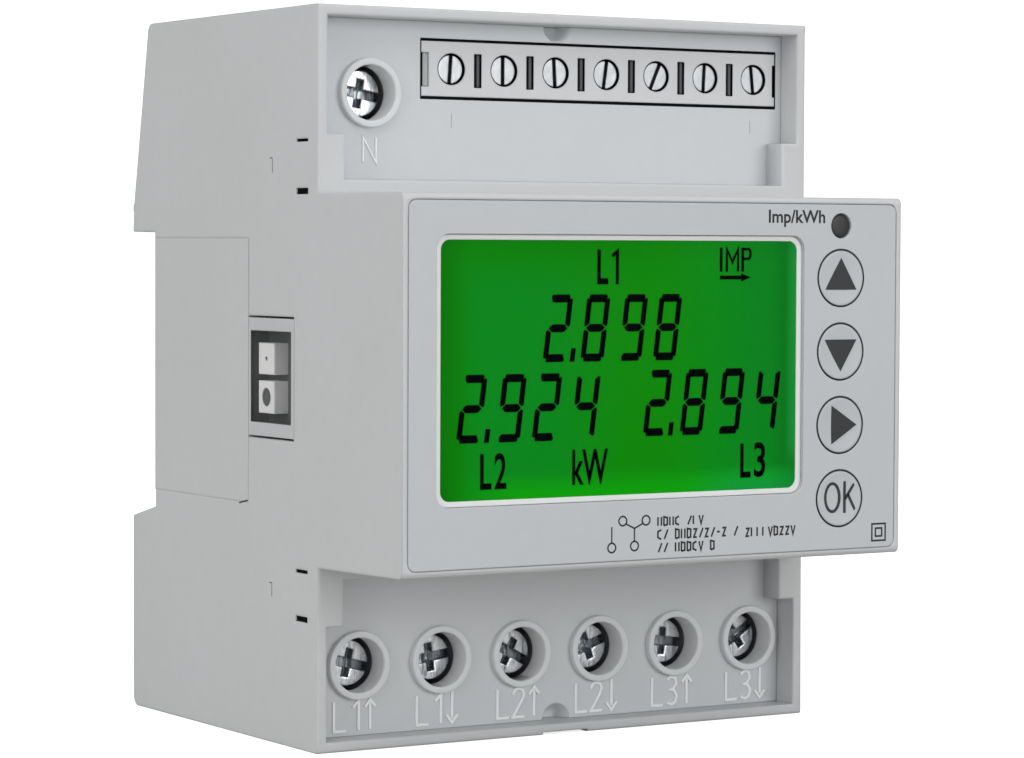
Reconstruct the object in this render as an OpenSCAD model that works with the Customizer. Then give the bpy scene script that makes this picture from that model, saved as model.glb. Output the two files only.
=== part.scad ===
// Four-module three-phase energy meter for a 35 mm DIN rail.
// Frame: +X right, +Y to the back, +Z up. The meter stands on z = 0,
// with x = 0 and y = 0 in the middle of its outline.

/* [Case] */
// Width of the case, four modules
case_w = 72; // [71:0.5:74]
// Height of the case
case_h = 90; // [89.5:0.25:90.5]
// Depth from the raised front to the back
case_d = 71.6; // [71:0.2:73]
// Depth from the shoulders to the raised front
front_step = 20.3; // [19.5:0.1:21]
// Wall thickness of the case
wall = 1.3; // [1.2:0.05:1.4]
// Lower edge of the raised front
front_z0 = 22.8; // [22.5:0.1:23]
// Upper edge of the raised front
front_z1 = 67.3; // [67.1:0.1:67.6]

/* [Rail] */
// Depth of the rail channel
rail_depth = 6.6; // [6.4:0.1:6.8]
// Lower edge of the rail channel
rail_z0 = 26.9; // [26.7:0.1:27.1]
// Upper edge of the rail channel
rail_z1 = 62.8; // [62.6:0.1:63]
// Travel of the rail latch
latch_travel = 3.2; // [2.5:0.1:3.4]

/* [Main terminals] */
// Distance between neighbouring main terminals
main_pitch = 11.66; // [11.6:0.02:11.7]
// Radius of a screwdriver well
well_r = 3.4; // [3.2:0.05:3.6]
// Radius of a screw head
head_r = 2.85; // [2.7:0.05:2.95]
// Radius of a cable entry
entry_r = 4; // [3.6:0.1:4.1]
// Opening travel of a rising cage
cage_travel = 7; // [5:0.5:7]

/* [Signal terminals] */
// Distance between neighbouring signal terminals
signal_pitch = 7.62; // [7.5:0.02:7.66]
// Radius of a signal screw head
signal_head_r = 1.75; // [1.65:0.05:1.8]

/* [Front] */
// Radius of a round key opening
key_r = 3.63; // [3.5:0.02:3.7]
// Distance between neighbouring keys
key_pitch = 9.13; // [8.9:0.02:9.2]
// Travel of a key
key_travel = 0.45; // [0.3:0.05:0.5]

/* [Hidden] */

hw = case_w / 2;
hi = hw - wall;
y_front = -case_d / 2;
y_back = case_d / 2;
y_sh = y_front + front_step;
y_rail = y_back - rail_depth;
y_deck = y_sh + 3.5;
deck_t = 2.4;
y_db = y_deck + deck_t;
zc = 45;
gap = 0.03;

// main terminals: first axis, height of the lower row, neutral terminal
main_x0 = -28.6;
main_z = 10;
n_x = -27.2;
n_z = 79.7;
collar_r = 4.22;
collar_h = 0.8;
chamber_w = 4.7;
tongue_y = 2;
tongue_t = 1.6;
head_y = y_deck + 2.5;
head_t = 1.9;
shaft_r = 2.5;
cage_y0 = -0.4;
entry_y = 7.8;
slot_turn = [14, -8, 28, -20, 6, -34, 10];
function mx(i) = main_x0 + i * main_pitch;

// signal terminals
sig_x0 = -15.5;
sig_z = 82.9;
sig_entry_y = 0.2;
sig_turn = [4, 0, -3, 8, 24, 3, -6];
function sx(j) = sig_x0 + j * signal_pitch;

// keys and pulse lamp
key_x = 26.67;
key_z0 = 57.35;
lamp_z = 63.82;
function kz(k) = key_z0 - k * key_pitch;

// display
lx0 = -31.45; lx1 = 21.05; lz0 = 30.8; lz1 = 62.55;

// side port
py0 = -9.4; py1 = 2.6; pz0 = 37.35; pz1 = 52.45;

function ang2(v) = atan2(v[1], v[0]);
function corner(a, b, c, r, n) = r == 0 ? [b] :
  let (u = (a - b) / norm(a - b), w = (c - b) / norm(c - b), t = acos(u * w) / 2,
       m = b + (u + w) / norm(u + w) * r / sin(t),
       p = b + u * r / tan(t), q = b + w * r / tan(t),
       a0 = ang2(p - m), d = ang2(q - m) - a0,
       e = d > 180 ? d - 360 : d < -180 ? d + 360 : d)
  [for (i = [0:n]) m + r * [cos(a0 + e * i / n), sin(a0 + e * i / n)]];
function xy(p) = [p[0], p[1]];
function rounded(p, n = 5) = [for (i = [0:len(p) - 1])
  each corner(xy(p[(i + len(p) - 1) % len(p)]), xy(p[i]), xy(p[(i + 1) % len(p)]), p[i][2], n)];

module bx(x0, x1, y0, y1, z0, z1) { translate([x0, y0, z0]) cube([x1 - x0, y1 - y0, z1 - z0]); }
module cy(x, z, r, y0, y1) { translate([x, y0, z]) rotate([-90, 0, 0]) cylinder(r = r, h = y1 - y0, $fn = 64); }
module cz(x, y, r, z0, z1) { translate([x, y, z0]) cylinder(r = r, h = z1 - z0, $fn = 64); }
module prof(x0, x1, p) { translate([x0, 0, 0]) rotate([90, 0, 90]) linear_extrude(x1 - x0) polygon(p); }
// plate in the XZ plane with rounded corners
module rp(x0, x1, z0, z1, r, y0, y1) {
  bx(x0 + r, x1 - r, y0, y1, z0, z1);
  bx(x0, x1, y0, y1, z0 + r, z1 - r);
  for (x = [x0 + r, x1 - r], z = [z0 + r, z1 - r]) cy(x, z, r, y0, y1);
}

case_profile = rounded([[y_sh, 0, 0.4], [y_back, 0, 1.5], [y_back, 25.3, 0.3], [y_rail, rail_z0, 0], [y_rail, rail_z1, 0],
  [y_back, rail_z1, 0.3], [y_back, 66, 6], [y_back - 4.6, case_h, 1.5], [y_sh, case_h, 0.4],
  [y_sh, front_z1 + 0.3, 0], [y_front, front_z1, 0.8], [y_front, front_z0, 0.8], [y_sh, front_z0 - 0.4, 0]]);

// whole outer case with every opening in it
module case_solid() {
  difference() {
    prof(-hw, hw, case_profile);
    // inside of the raised front and of the body, open to the back
    prof(-hi, hi, [[y_front + 1.5, front_z0 + 1.4], [y_db + 0.6, front_z0 + 1.4], [y_db + 0.6, wall], [y_back + 5, wall],
      [y_back + 5, case_h - wall], [y_db + 0.6, case_h - wall], [y_db + 0.6, front_z1 - 1.4], [y_front + 1.5, front_z1 - 1.4]]);
    // terminal recesses
    difference() {
      bx(-hi, hi, y_sh - 1, y_db + 0.7, 69.1, case_h - wall);
      for (s = [-1, 1]) bx(s > 0 ? 32.4 : -hi - 1, s > 0 ? hi + 1 : -32.4, y_sh - 2, y_deck - 0.02, 69, 74.6);
    }
    difference() {
      bx(-hi, hi, y_sh - 1, y_db + 0.7, wall, 20.9);
      for (s = [-1, 1]) bx(s > 0 ? 32.4 : -hi - 1, s > 0 ? hi + 1 : -32.4, y_sh - 2, y_deck - 0.02, 15.2, 21);
    }
    // side notches for the rear cover's cheeks
    for (s = [-1, 1]) bx(s > 0 ? hi - 0.5 : -hw - 1, s > 0 ? hw + 1 : -hi + 0.5, 2.6, y_rail + 1, 29.2, 62);
    // bed of the overlay, display and keys
    rp(-35.3, 35.3, 23.55, 66.55, 1.05, y_front - 1, y_front + 0.32);
    rp(lx0, lx1, lz0, lz1, 1.7, y_front - 1, y_front + 3);
    for (k = [0:3]) cy(key_x, kz(k), key_r, y_front - 1, y_front + 3);
    cy(key_x, lamp_z, 1.56, y_front - 1, y_front + 3);
    // side port opening
    bx(-hw - 1, -hi + 1, py0, py1 + 0.1, pz0, pz1);
    // cover latch slits in both sides
    for (s = [-1, 1]) {
      for (q = [[73.62, 73.98], [67.3, 68.05], [21.5, 21.95], [15.6, 16.3]])
        bx(s > 0 ? hw - 1 : -hw - 1, s > 0 ? hw + 1 : -hw + 1, -12.95, -9.95, q[0], q[1]);
    }
    // cable entries
    for (i = [0:5]) cz(mx(i), entry_y, entry_r + 0.3, -1, wall + 0.5);
    cz(n_x, entry_y, entry_r + 0.3, case_h - wall - 0.5, case_h + 1);
    for (j = [0:6]) cz(sx(j), sig_entry_y, 1.5, case_h - wall - 0.5, case_h + 1);
    // thumb reliefs at the middle of the top and bottom front edges
    bx(-3.9, 2.7, y_sh - 1, y_sh + 2.2, -1, 0.35);
    // room for the rail latch at the bottom
    bx(-8.35, 8.35, 31.4, y_back + 1, -1, wall + 0.2);
  }
}

// raised front with the shelves above the two terminal recesses
module front_housing() {
  color("gainsboro") intersection() {
    case_solid();
    bx(-hi, hi, y_front - 1, y_db + 0.6, 20.9, 69.1);
  }
}

// left and right side of the case, with the corner blocks of the recesses
module side_walls() {
  color("gainsboro") for (s = [-1, 1]) intersection() {
    case_solid();
    union() {
      bx(s > 0 ? hi : -hw - 1, s > 0 ? hw + 1 : -hi, y_front - 1, y_back + 1, -1, case_h + 1);
      for (z = [15.2, 69.1]) bx(s > 0 ? 32.4 : -hi - 0.5, s > 0 ? hi + 0.5 : -32.4, y_sh - 1, y_deck - 0.02, z, z + (z < 20 ? 5.7 : 5.5));
    }
  }
}

// top and bottom of the case, with the cable entries
module end_walls() {
  color("gainsboro") for (z = [-1, case_h - wall]) intersection() {
    case_solid();
    bx(-hi, hi, y_sh - 1, y_back + 1, z, z + wall + 1);
  }
}

module rear_cover() {
  color("lightgray") difference() {
    union() {
      prof(-hi + gap, hi - gap, [[y_rail, rail_z0 + 0.03], [y_back - 0.1, 25.35], [y_back - 0.1, wall + 0.1], [y_back - 1.6, wall + 0.1],
        [y_back - 1.6, 24.1], [y_rail - 1.5, 25.7], [y_rail - 1.5, rail_z1 + 1.4], [y_back - 1.6, rail_z1 + 1.4],
        [y_back - 1.6, 65.9], [y_back - 5.85, case_h - wall - 0.1], [y_back - 4.45, case_h - wall - 0.1],
        [y_back - 0.15, 66], [y_back - 0.1, rail_z1 - 0.03], [y_rail, rail_z1 - 0.03]]);
      for (s = [-1, 1]) {
        // cheeks that fill the notches of the case
        bx(s > 0 ? hi - 1.2 : -hw, s > 0 ? hw : -hi + 1.2, 2.72, y_rail, 29.32, 61.88);
        // fixed hooks over the rail's upper flange
        prof(s > 0 ? 12 : -30, s > 0 ? 30 : -12, [[30.6, 63.5], [30.6, 61.3], [31.4, 61], [33.6, 63.5]]);
      }
      // latch pocket
      bx(-9.7, 9.7, y_rail - 1.5, y_rail, 20.5, 27);
      bx(-9.7, 9.7, y_rail - 1.5, 33.2, 20.5, 22);
      bx(-9.7, 9.7, 31.7, 33.2, wall + 0.1, 21);
      for (s = [-1, 1]) {
        bx(s > 0 ? 8.2 : -9.7, s > 0 ? 9.7 : -8.2, y_rail - 1, y_back - 0.5, 20.5, 25.2);
        bx(s > 0 ? 8.2 : -9.7, s > 0 ? 9.7 : -8.2, 32, y_back - 0.5, wall + 0.1, 21);
      }
    }
    bx(-8.2, 8.2, 33.2, y_back + 1, -1, 23);
    bx(-8.2, 8.2, y_rail, y_back + 1, 22, 28);
  }
  // lips that hold the latch, and the peg under its spring
  color("lightgray") {
    for (s = [-1, 1]) bx(s > 0 ? 6.9 : -8.25, s > 0 ? 8.25 : -6.9, 35, y_back - 0.1, 3, 19);
    bx(-1.2, 1.2, 33.1, 35.3, 6.4, 8);
  }
}

// one rising-clamp chamber row: deck, ribs, floor with cable entries
module lower_terminal_block() {
  color("silver") difference() {
    union() {
      bx(-hi + gap, hi - gap, y_deck, y_db, wall + gap, 20.9 - gap);
      for (i = [0:5]) cy(mx(i), main_z, collar_r, y_deck - collar_h, y_deck + 1);
      bx(-hi + gap, hi - gap, y_db - 1, 16, wall + gap, 4.3);
      bx(-hi + gap, hi - gap, 14.5, 16, wall + gap, 19);
      for (i = [0:4]) bx(mx(i) + chamber_w, mx(i + 1) - chamber_w, y_db - 1, 15, wall + gap, 19);
      bx(-hi + gap, mx(0) - chamber_w, y_db - 1, 15, wall + gap, 19);
    }
    for (i = [0:5]) {
      cy(mx(i), main_z, well_r, y_deck - 3, y_db + 1);
      cz(mx(i), entry_y, entry_r, 0, 6);
    }
    // conical seat of the cover screw
    translate([0.15, y_deck - 0.01, wall]) rotate([-90, 0, 0]) cylinder(r1 = 2.1, r2 = 0.9, h = 1.9, $fn = 48);
  }
}

module upper_terminal_block() {
  color("silver") difference() {
    union() {
      bx(-hi + gap, hi - gap, y_deck, y_db, 69.1 + gap, case_h - wall - gap);
      cy(n_x, n_z, collar_r, y_deck - collar_h, y_deck + 1);
      bx(-hi + gap, -20.95, y_db - 1, 16, 85.7, case_h - wall - gap);
      bx(-hi + gap, -20.95, 14.5, 16, 71, case_h - wall - gap);
      bx(-hi + gap, n_x - chamber_w, y_db - 1, 15, 71, case_h - wall - gap);
      bx(n_x + chamber_w, -20.95, y_db - 1, 15, 71, case_h - wall - gap);
      bx(-21.5, hi - gap, y_db - 1, 3.2, 77.6, 79);
    }
    cy(n_x, n_z, well_r, y_deck - 3, y_db + 1);
    cz(n_x, entry_y, entry_r, 84, case_h);
    // opening for the signal strip
    bx(-19.95, 33.7, y_deck - 1, y_db + 1, 79.25, 86.5);
    for (j = [0:6]) bx(sx(j) - 1.3, sx(j) + 1.3, -2.2, -1, 77, 80);
    translate([-0.1, y_deck - 0.01, case_h - wall]) rotate([-90, 0, 0]) cylinder(r1 = 2.1, r2 = 0.9, h = 1.9, $fn = 48);
  }
}

module front_overlay() {
  color("whitesmoke") difference() {
    rp(-35.2, 35.2, 23.65, 66.45, 1, y_front, y_front + 0.3);
    rp(lx0, lx1, lz0, lz1, 1.7, y_front - 1, y_front + 3);
    for (k = [0:3]) cy(key_x, kz(k), key_r, y_front - 1, y_front + 3);
    cy(key_x, lamp_z, 1.56, y_front - 1, y_front + 3);
  }
}

module display_window() {
  color([0.8, 0.95, 0.85, 0.4]) rp(lx0 + 0.06, lx1 - 0.06, lz0 + 0.06, lz1 - 0.06, 1.64, y_front + 0.06, y_front + 0.5);
}

module lcd_holder() {
  color("white") difference() {
    union() {
      rp(lx0 + 0.06, lx1 - 0.06, lz0 + 0.06, lz1 - 0.06, 1.64, y_front + 0.53, y_front + 2);
      bx(lx0 - 1, lx1 + 1, y_front + 1.55, y_front + 6.4, lz0 - 1, lz1 + 1);
    }
    rp(-30.65, 20.25, 31.5, 61.9, 1.2, y_front, y_front + 2.5);
    bx(-30.75, 20.35, y_front + 2.4, y_front + 7, 31.4, 62);
  }
}

module lcd_glass() {
  color([0.2, 0.7, 0.25, 0.8]) rp(-30.6, 20.2, 31.55, 61.85, 1.15, y_front + 0.62, y_front + 2.38);
}

module lcd_backlight() { color("limegreen") bx(-30.7, 20.3, y_front + 2.42, y_front + 4.8, 31.45, 61.95); }

module display_board() {
  color("darkgreen") difference() {
    bx(-33.6, 33.6, y_front + 6.6, y_front + 8.2, 25.2, 64.9);
    for (x = [-31.8, 31.8], z = [27, 45]) cy(x, z, 1.1, y_front + 5, y_front + 10);
  }
  // contact strips that carry the display's signals
  color("dimgray") for (x = [-27, -4]) bx(x, x + 20, y_front + 4.82, y_front + 6.65, 58.4, 60.8);
}

module tact_switches() {
  color("dimgray") for (k = [0:3]) difference() {
    union() {
      bx(key_x - 3, key_x + 3, y_front + 4.1, y_front + 6.57, kz(k) - 3, kz(k) + 3);
      cy(key_x, kz(k), 1.8, y_front + 3.3, y_front + 4.2);
    }
    cy(key_x, kz(k), 1.15, y_front, y_front + 4.9);
  }
}

module pulse_led() {
  color("dimgray") {
    cy(key_x, lamp_z, 1.5, y_front + 0.08, y_front + 5);
    cy(key_x, lamp_z, 1.9, y_front + 4.2, y_front + 6.57);
  }
}

module key(k) {
  color("lightgray") {
    cy(key_x, kz(k), key_r - 0.17, y_front, y_front + 1.9);
    cy(key_x, kz(k), key_r + 0.45, y_front + 1.62, y_front + 2.4);
    cy(key_x, kz(k), 0.9, y_front + 2.3, y_front + 3.7);
  }
}
module button_up() { key(0); }
module button_down() { key(1); }
module button_right() { key(2); }
module button_ok() { key(3); }

module ribbon_link() {
  color("ivory") {
    bx(2, 20, y_front + 8.23, y_front + 10.4, 62.2, 64.6);
    bx(3, 19, y_front + 10.3, 16, 63.3, 63.6);
    bx(2, 20, 15.6, 17.97, 62.2, 64.6);
  }
}

module main_board() {
  color("darkgreen") difference() {
    bx(-33.4, 33.4, 18, 19.6, 24.6, 76.4);
    for (x = [-31, 31], z = [27, 68]) cy(x, z, 1.6, 17, 21);
  }
}

module signal_board() { color("darkgreen") bx(-19.5, 33, -6, 17.97, 74.4, 76); }

module supply_transformer() {
  color("goldenrod") {
    bx(-18, -2, 4, 14, 38, 52);
    bx(-17, -3, 13.9, 17.97, 36.5, 53.5);
    bx(-15, -5, 5.5, 12.5, 36.6, 53.4);
  }
}

module supply_capacitors() {
  color("steelblue") for (x = [8, 20]) { cz(x, 12.9, 5, 38, 56); cz(x, 12.9, 5.05, 55, 56.5); }
}

module current_transformers() {
  color("darkorange") for (p = [0:2]) let (x = (mx(2 * p) + mx(2 * p + 1)) / 2) difference() {
    translate([x, tongue_y + 0.8, 24.5]) rotate_extrude($fn = 96) polygon(rounded([[3.3, 0, 0.8], [8.5, 0, 0.8], [8.5, 7, 0.8], [3.3, 7, 0.8]]));
  }
}

module busbars() {
  color("peru") for (p = [0:2]) let (a = mx(2 * p), b = mx(2 * p + 1), c = (mx(2 * p) + mx(2 * p + 1)) / 2) {
    bx(a - 3.1, a + 3.1, tongue_y, tongue_y + tongue_t, 5, 23.4);
    bx(a - 3.1, c + 2, tongue_y, tongue_y + tongue_t, 19.6, 23.4);
    bx(c - 2, c + 2, tongue_y, tongue_y + tongue_t, 19.6, 34);
    bx(c - 2, c + 2, tongue_y, 13.4, 32.4, 34);
    bx(c - 2, c + 2, 11.8, 13.4, 19.6, 34);
    bx(c - 2, b + 3.1, 11.8, 13.4, 19.6, 23.4);
    bx(b - 3.1, b + 3.1, tongue_y, 13.4, 19.6, 21.2);
    bx(b - 3.1, b + 3.1, tongue_y, tongue_y + tongue_t, 5, 21.2);
  }
  // neutral tap, down to the main board
  color("peru") {
    bx(n_x - 3.1, n_x + 3.1, tongue_y, tongue_y + tongue_t, 58.4, 84.6);
    bx(n_x - 3.1, n_x + 3.1, tongue_y, 17.97, 58.4, 60);
  }
}

// captive terminal screw with a slotted cross head
module main_screw(x, z, a) {
  color("gray") translate([x, head_y, z]) rotate([0, a, 0]) difference() {
    union() {
      rotate([-90, 0, 0]) cylinder(r = head_r, h = head_t, $fn = 64);
      rotate([-90, 0, 0]) cylinder(r = shaft_r, h = tongue_y - 0.06 - head_y, $fn = 64);
    }
    bx(-head_r - 1, head_r + 1, -1, 1.2, -0.55, 0.55);
    bx(-0.5, 0.5, -1, 1.4, -1.75, 1.75);
  }
}
// rising cage, open for the conductor along Z
module cage(x, z) {
  color("darkgray") difference() {
    bx(x - 4.5, x + 4.5, cage_y0, 13.4, z - 5, z + 5);
    bx(x - 3.35, x + 3.35, 1.8, 12, z - 6, z + 6);
    cy(x, z, shaft_r + 0.06, cage_y0 - 1, 3);
  }
}
module screw_l1_in() { main_screw(mx(0), main_z, slot_turn[0]); }
module screw_l1_out() { main_screw(mx(1), main_z, slot_turn[1]); }
module screw_l2_in() { main_screw(mx(2), main_z, slot_turn[2]); }
module screw_l2_out() { main_screw(mx(3), main_z, slot_turn[3]); }
module screw_l3_in() { main_screw(mx(4), main_z, slot_turn[4]); }
module screw_l3_out() { main_screw(mx(5), main_z, slot_turn[5]); }
module screw_n() { main_screw(n_x, n_z, slot_turn[6]); }
module cage_l1_in() { cage(mx(0), main_z); }
module cage_l1_out() { cage(mx(1), main_z); }
module cage_l2_in() { cage(mx(2), main_z); }
module cage_l2_out() { cage(mx(3), main_z); }
module cage_l3_in() { cage(mx(4), main_z); }
module cage_l3_out() { cage(mx(5), main_z); }
module cage_n() { cage(n_x, n_z); }

module signal_strip() {
  color("whitesmoke") difference() {
    bx(-19.85, 33.6, y_deck, 3.2, 79.5, 86.3);
    for (j = [0:6]) {
      cy(sx(j), sig_z, 1.95, y_deck - 1, y_deck + 1.9);
      cy(sx(j), sig_z, 1.56, y_deck - 1, y_deck + 4);
      bx(sx(j) - 2.75, sx(j) + 2.75, -8.6, 2.7, 80.2, 85.6);
      cz(sx(j), sig_entry_y, 1.4, 85, 87);
      bx(sx(j) - 1.3, sx(j) + 1.3, -2.05, -1.15, 79, 81);
    }
    // narrow slots between the screws
    for (j = [0:5]) bx(sx(j) + signal_pitch / 2 - 0.53, sx(j) + signal_pitch / 2 + 0.53, y_deck - 1, y_deck + 2.4, 80.7, 84.85);
    for (x = [-20.5, 33.25]) bx(x, x + 1.8, y_deck - 1, y_deck + 2.4, 80.7, 84.85);
  }
}

module signal_contacts() { color("peru") for (j = [0:6]) bx(sx(j) - 1.2, sx(j) + 1.2, -2, -1.2, 76.03, 85.3); }

module signal_screw(j) {
  color("silver") translate([sx(j), y_deck + 0.35, sig_z]) rotate([0, sig_turn[j - 0], 0]) difference() {
    union() {
      rotate([-90, 0, 0]) cylinder(r = signal_head_r, h = 1.4, $fn = 48);
      rotate([-90, 0, 0]) cylinder(r = 1.5, h = -2.06 - y_deck - 0.35, $fn = 48);
    }
    bx(-0.24, 0.24, -1, 0.8, -3, 3);
  }
}
module signal_clamp(j) {
  color("darkgray") difference() {
    bx(sx(j) - 2.6, sx(j) + 2.6, -3.8, 2.4, 80.4, 85.4);
    bx(sx(j) - 1.9, sx(j) + 1.9, -2.15, 1.6, 80, 86);
    cy(sx(j), sig_z, 1.56, -5, -2);
  }
}
module signal_screw_1() { signal_screw(0); }
module signal_screw_2() { signal_screw(1); }
module signal_screw_3() { signal_screw(2); }
module signal_screw_4() { signal_screw(3); }
module signal_screw_5() { signal_screw(4); }
module signal_screw_6() { signal_screw(5); }
module signal_screw_7() { signal_screw(6); }
module signal_clamp_1() { signal_clamp(0); }
module signal_clamp_2() { signal_clamp(1); }
module signal_clamp_3() { signal_clamp(2); }
module signal_clamp_4() { signal_clamp(3); }
module signal_clamp_5() { signal_clamp(4); }
module signal_clamp_6() { signal_clamp(5); }
module signal_clamp_7() { signal_clamp(6); }

module din_latch() {
  color("lightgray") difference() {
    union() {
      bx(-7.9, 7.9, 33.4, 34.8, 0.3, 24);
      bx(-6.7, 6.7, 34.7, 35.6, 0.3, 24);
      prof(-7.9, 7.9, [[33.4, 23.5], [35.6, 23.5], [35.6, 25], [32, 28.7], [30.6, 28.7], [30.6, 25.6], [33.4, 25.6]]);
    }
    bx(-1.7, 1.7, 33, 36, 3, 18);
    bx(-2.4, 2.4, 33, 36, 1, 2.2);
  }
}

module latch_spring() {
  color("silver") translate([0, 34.5, 8.05]) linear_extrude(height = 9.9, twist = -360 * 7, slices = 91)
    translate([0.78, 0]) circle(r = 0.22, $fn = 6);
}

module port_insert() {
  color("gainsboro") difference() {
    union() {
      bx(-hw, -hw + 1.4, py0 + 0.05, py1, pz0 + 0.25, pz1 - 0.25);
      bx(-hw + 1, -32.3, py0 + 0.6, 2.5, pz0 + 1.1, pz1 - 1.1);
    }
    bx(-hw - 1, -33.3, -8.55, 2.05, 39.3, 50.6);
  }
}

module port_window() { color([0.6, 0.65, 0.7, 0.4]) bx(-35.92, -35.5, -8.5, 2, 39.35, 50.55); }

module port_optics() {
  color("white") for (q = [[45.2, 49.1], [40.4, 44.4]]) difference() {
    bx(-35.4, -33.33, -3.05, 1.05, q[0], q[1]);
    translate([-36, -1, (q[0] + q[1]) / 2]) rotate([0, 90, 0]) cylinder(r = q[0] > 44.5 ? 0.3 : 1.15, h = 1.5, $fn = 40);
  }
}

front_housing();
side_walls();
end_walls();
rear_cover();
upper_terminal_block();
lower_terminal_block();
front_overlay();
display_window();
lcd_holder();
lcd_glass();
lcd_backlight();
display_board();
tact_switches();
pulse_led();
ribbon_link();
main_board();
signal_board();
supply_transformer();
supply_capacitors();
current_transformers();
busbars();
button_up();
button_down();
button_right();
button_ok();
screw_l1_in();
screw_l1_out();
screw_l2_in();
screw_l2_out();
screw_l3_in();
screw_l3_out();
screw_n();
cage_l1_in();
cage_l1_out();
cage_l2_in();
cage_l2_out();
cage_l3_in();
cage_l3_out();
cage_n();
signal_strip();
signal_contacts();
signal_screw_1();
signal_screw_2();
signal_screw_3();
signal_screw_4();
signal_screw_5();
signal_screw_6();
signal_screw_7();
signal_clamp_1();
signal_clamp_2();
signal_clamp_3();
signal_clamp_4();
signal_clamp_5();
signal_clamp_6();
signal_clamp_7();
din_latch();
latch_spring();
port_insert();
port_window();
port_optics();
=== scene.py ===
import math
import random

import bmesh
import bpy
from mathutils import Matrix, Vector


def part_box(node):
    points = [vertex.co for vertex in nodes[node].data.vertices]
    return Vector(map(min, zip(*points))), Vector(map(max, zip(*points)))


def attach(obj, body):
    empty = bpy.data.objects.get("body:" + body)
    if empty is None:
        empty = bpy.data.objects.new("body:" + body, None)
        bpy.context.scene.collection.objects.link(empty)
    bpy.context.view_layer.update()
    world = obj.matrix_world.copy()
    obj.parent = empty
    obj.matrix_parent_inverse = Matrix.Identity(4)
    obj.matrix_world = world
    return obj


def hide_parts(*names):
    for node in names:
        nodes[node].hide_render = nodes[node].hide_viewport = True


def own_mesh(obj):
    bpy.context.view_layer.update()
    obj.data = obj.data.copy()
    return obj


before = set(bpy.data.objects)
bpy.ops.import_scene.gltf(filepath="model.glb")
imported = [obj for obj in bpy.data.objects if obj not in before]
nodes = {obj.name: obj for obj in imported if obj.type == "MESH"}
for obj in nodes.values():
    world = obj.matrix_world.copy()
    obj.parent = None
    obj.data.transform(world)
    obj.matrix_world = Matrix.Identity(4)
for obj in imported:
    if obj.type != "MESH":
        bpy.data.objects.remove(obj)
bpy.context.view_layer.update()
MM = 0.001
scene = bpy.context.scene
random.seed(7)

# ---------------------------------------------------------------- node helpers


def material(name):
    m = bpy.data.materials.new(name)
    m.use_nodes = True
    nt = m.node_tree
    nt.nodes.clear()
    out = nt.nodes.new("ShaderNodeOutputMaterial")
    bsdf = nt.nodes.new("ShaderNodeBsdfPrincipled")
    nt.links.new(bsdf.outputs[0], out.inputs[0])
    return m, nt, bsdf


def node(nt, kind, **values):
    n = nt.nodes.new(kind)
    for key, value in values.items():
        if hasattr(n, key):
            setattr(n, key, value)
        else:
            n.inputs[key.replace("_", " ")].default_value = value
    return n


def coords(nt, stretch=(1, 1, 1)):
    tc = nt.nodes.new("ShaderNodeTexCoord")
    mp = nt.nodes.new("ShaderNodeMapping")
    mp.inputs["Scale"].default_value = stretch
    nt.links.new(tc.outputs["Object"], mp.inputs["Vector"])
    return mp.outputs[0]


def noise(nt, vec, scale, detail=2.0, rough=0.5):
    n = nt.nodes.new("ShaderNodeTexNoise")
    n.inputs["Scale"].default_value = scale
    n.inputs["Detail"].default_value = detail
    n.inputs["Roughness"].default_value = rough
    nt.links.new(vec, n.inputs["Vector"])
    return n.outputs["Fac"]


def remap(nt, val, a, b, c, d):
    n = nt.nodes.new("ShaderNodeMapRange")
    n.inputs["From Min"].default_value = a
    n.inputs["From Max"].default_value = b
    n.inputs["To Min"].default_value = c
    n.inputs["To Max"].default_value = d
    nt.links.new(val, n.inputs["Value"])
    return n.outputs["Result"]


def mix(nt, fac, a, b, mode="MIX"):
    n = nt.nodes.new("ShaderNodeMix")
    n.data_type = "RGBA"
    n.blend_type = mode
    if isinstance(fac, float):
        n.inputs[0].default_value = fac
    else:
        nt.links.new(fac, n.inputs[0])
    for sock, v in ((n.inputs[6], a), (n.inputs[7], b)):
        if isinstance(v, tuple):
            sock.default_value = (*v, 1)
        else:
            nt.links.new(v, sock)
    return n.outputs[2]


def math_node(nt, op, a, b=None):
    n = nt.nodes.new("ShaderNodeMath")
    n.operation = op
    for i, v in enumerate((a, b)):
        if v is None:
            continue
        if isinstance(v, (int, float)):
            n.inputs[i].default_value = v
        else:
            nt.links.new(v, n.inputs[i])
    return n.outputs[0]


def edge_mask(nt, radius=0.0004, gain=5.0):
    """1 on convex and concave edges, where a painted highlight goes; 0 on flats."""
    bev = nt.nodes.new("ShaderNodeBevel")
    bev.samples = 4
    bev.inputs["Radius"].default_value = radius
    geo = nt.nodes.new("ShaderNodeNewGeometry")
    dot = nt.nodes.new("ShaderNodeVectorMath")
    dot.operation = "DOT_PRODUCT"
    nt.links.new(bev.outputs[0], dot.inputs[0])
    nt.links.new(geo.outputs["Normal"], dot.inputs[1])
    inv = math_node(nt, "SUBTRACT", 1.0, dot.outputs["Value"])
    amp = math_node(nt, "MULTIPLY", inv, gain)
    cl = nt.nodes.new("ShaderNodeClamp")
    nt.links.new(amp, cl.inputs[0])
    return cl.outputs[0], bev.outputs[0]


def bump(nt, bsdf, parts, base_normal=None):
    """parts: (height output, strength, distance) chained."""
    last = base_normal
    for h, strength, dist in parts:
        b = nt.nodes.new("ShaderNodeBump")
        b.inputs["Strength"].default_value = strength
        b.inputs["Distance"].default_value = dist
        nt.links.new(h, b.inputs["Height"])
        if last is not None:
            nt.links.new(last, b.inputs["Normal"])
        last = b.outputs[0]
    if last is not None:
        nt.links.new(last, bsdf.inputs["Normal"])


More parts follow.
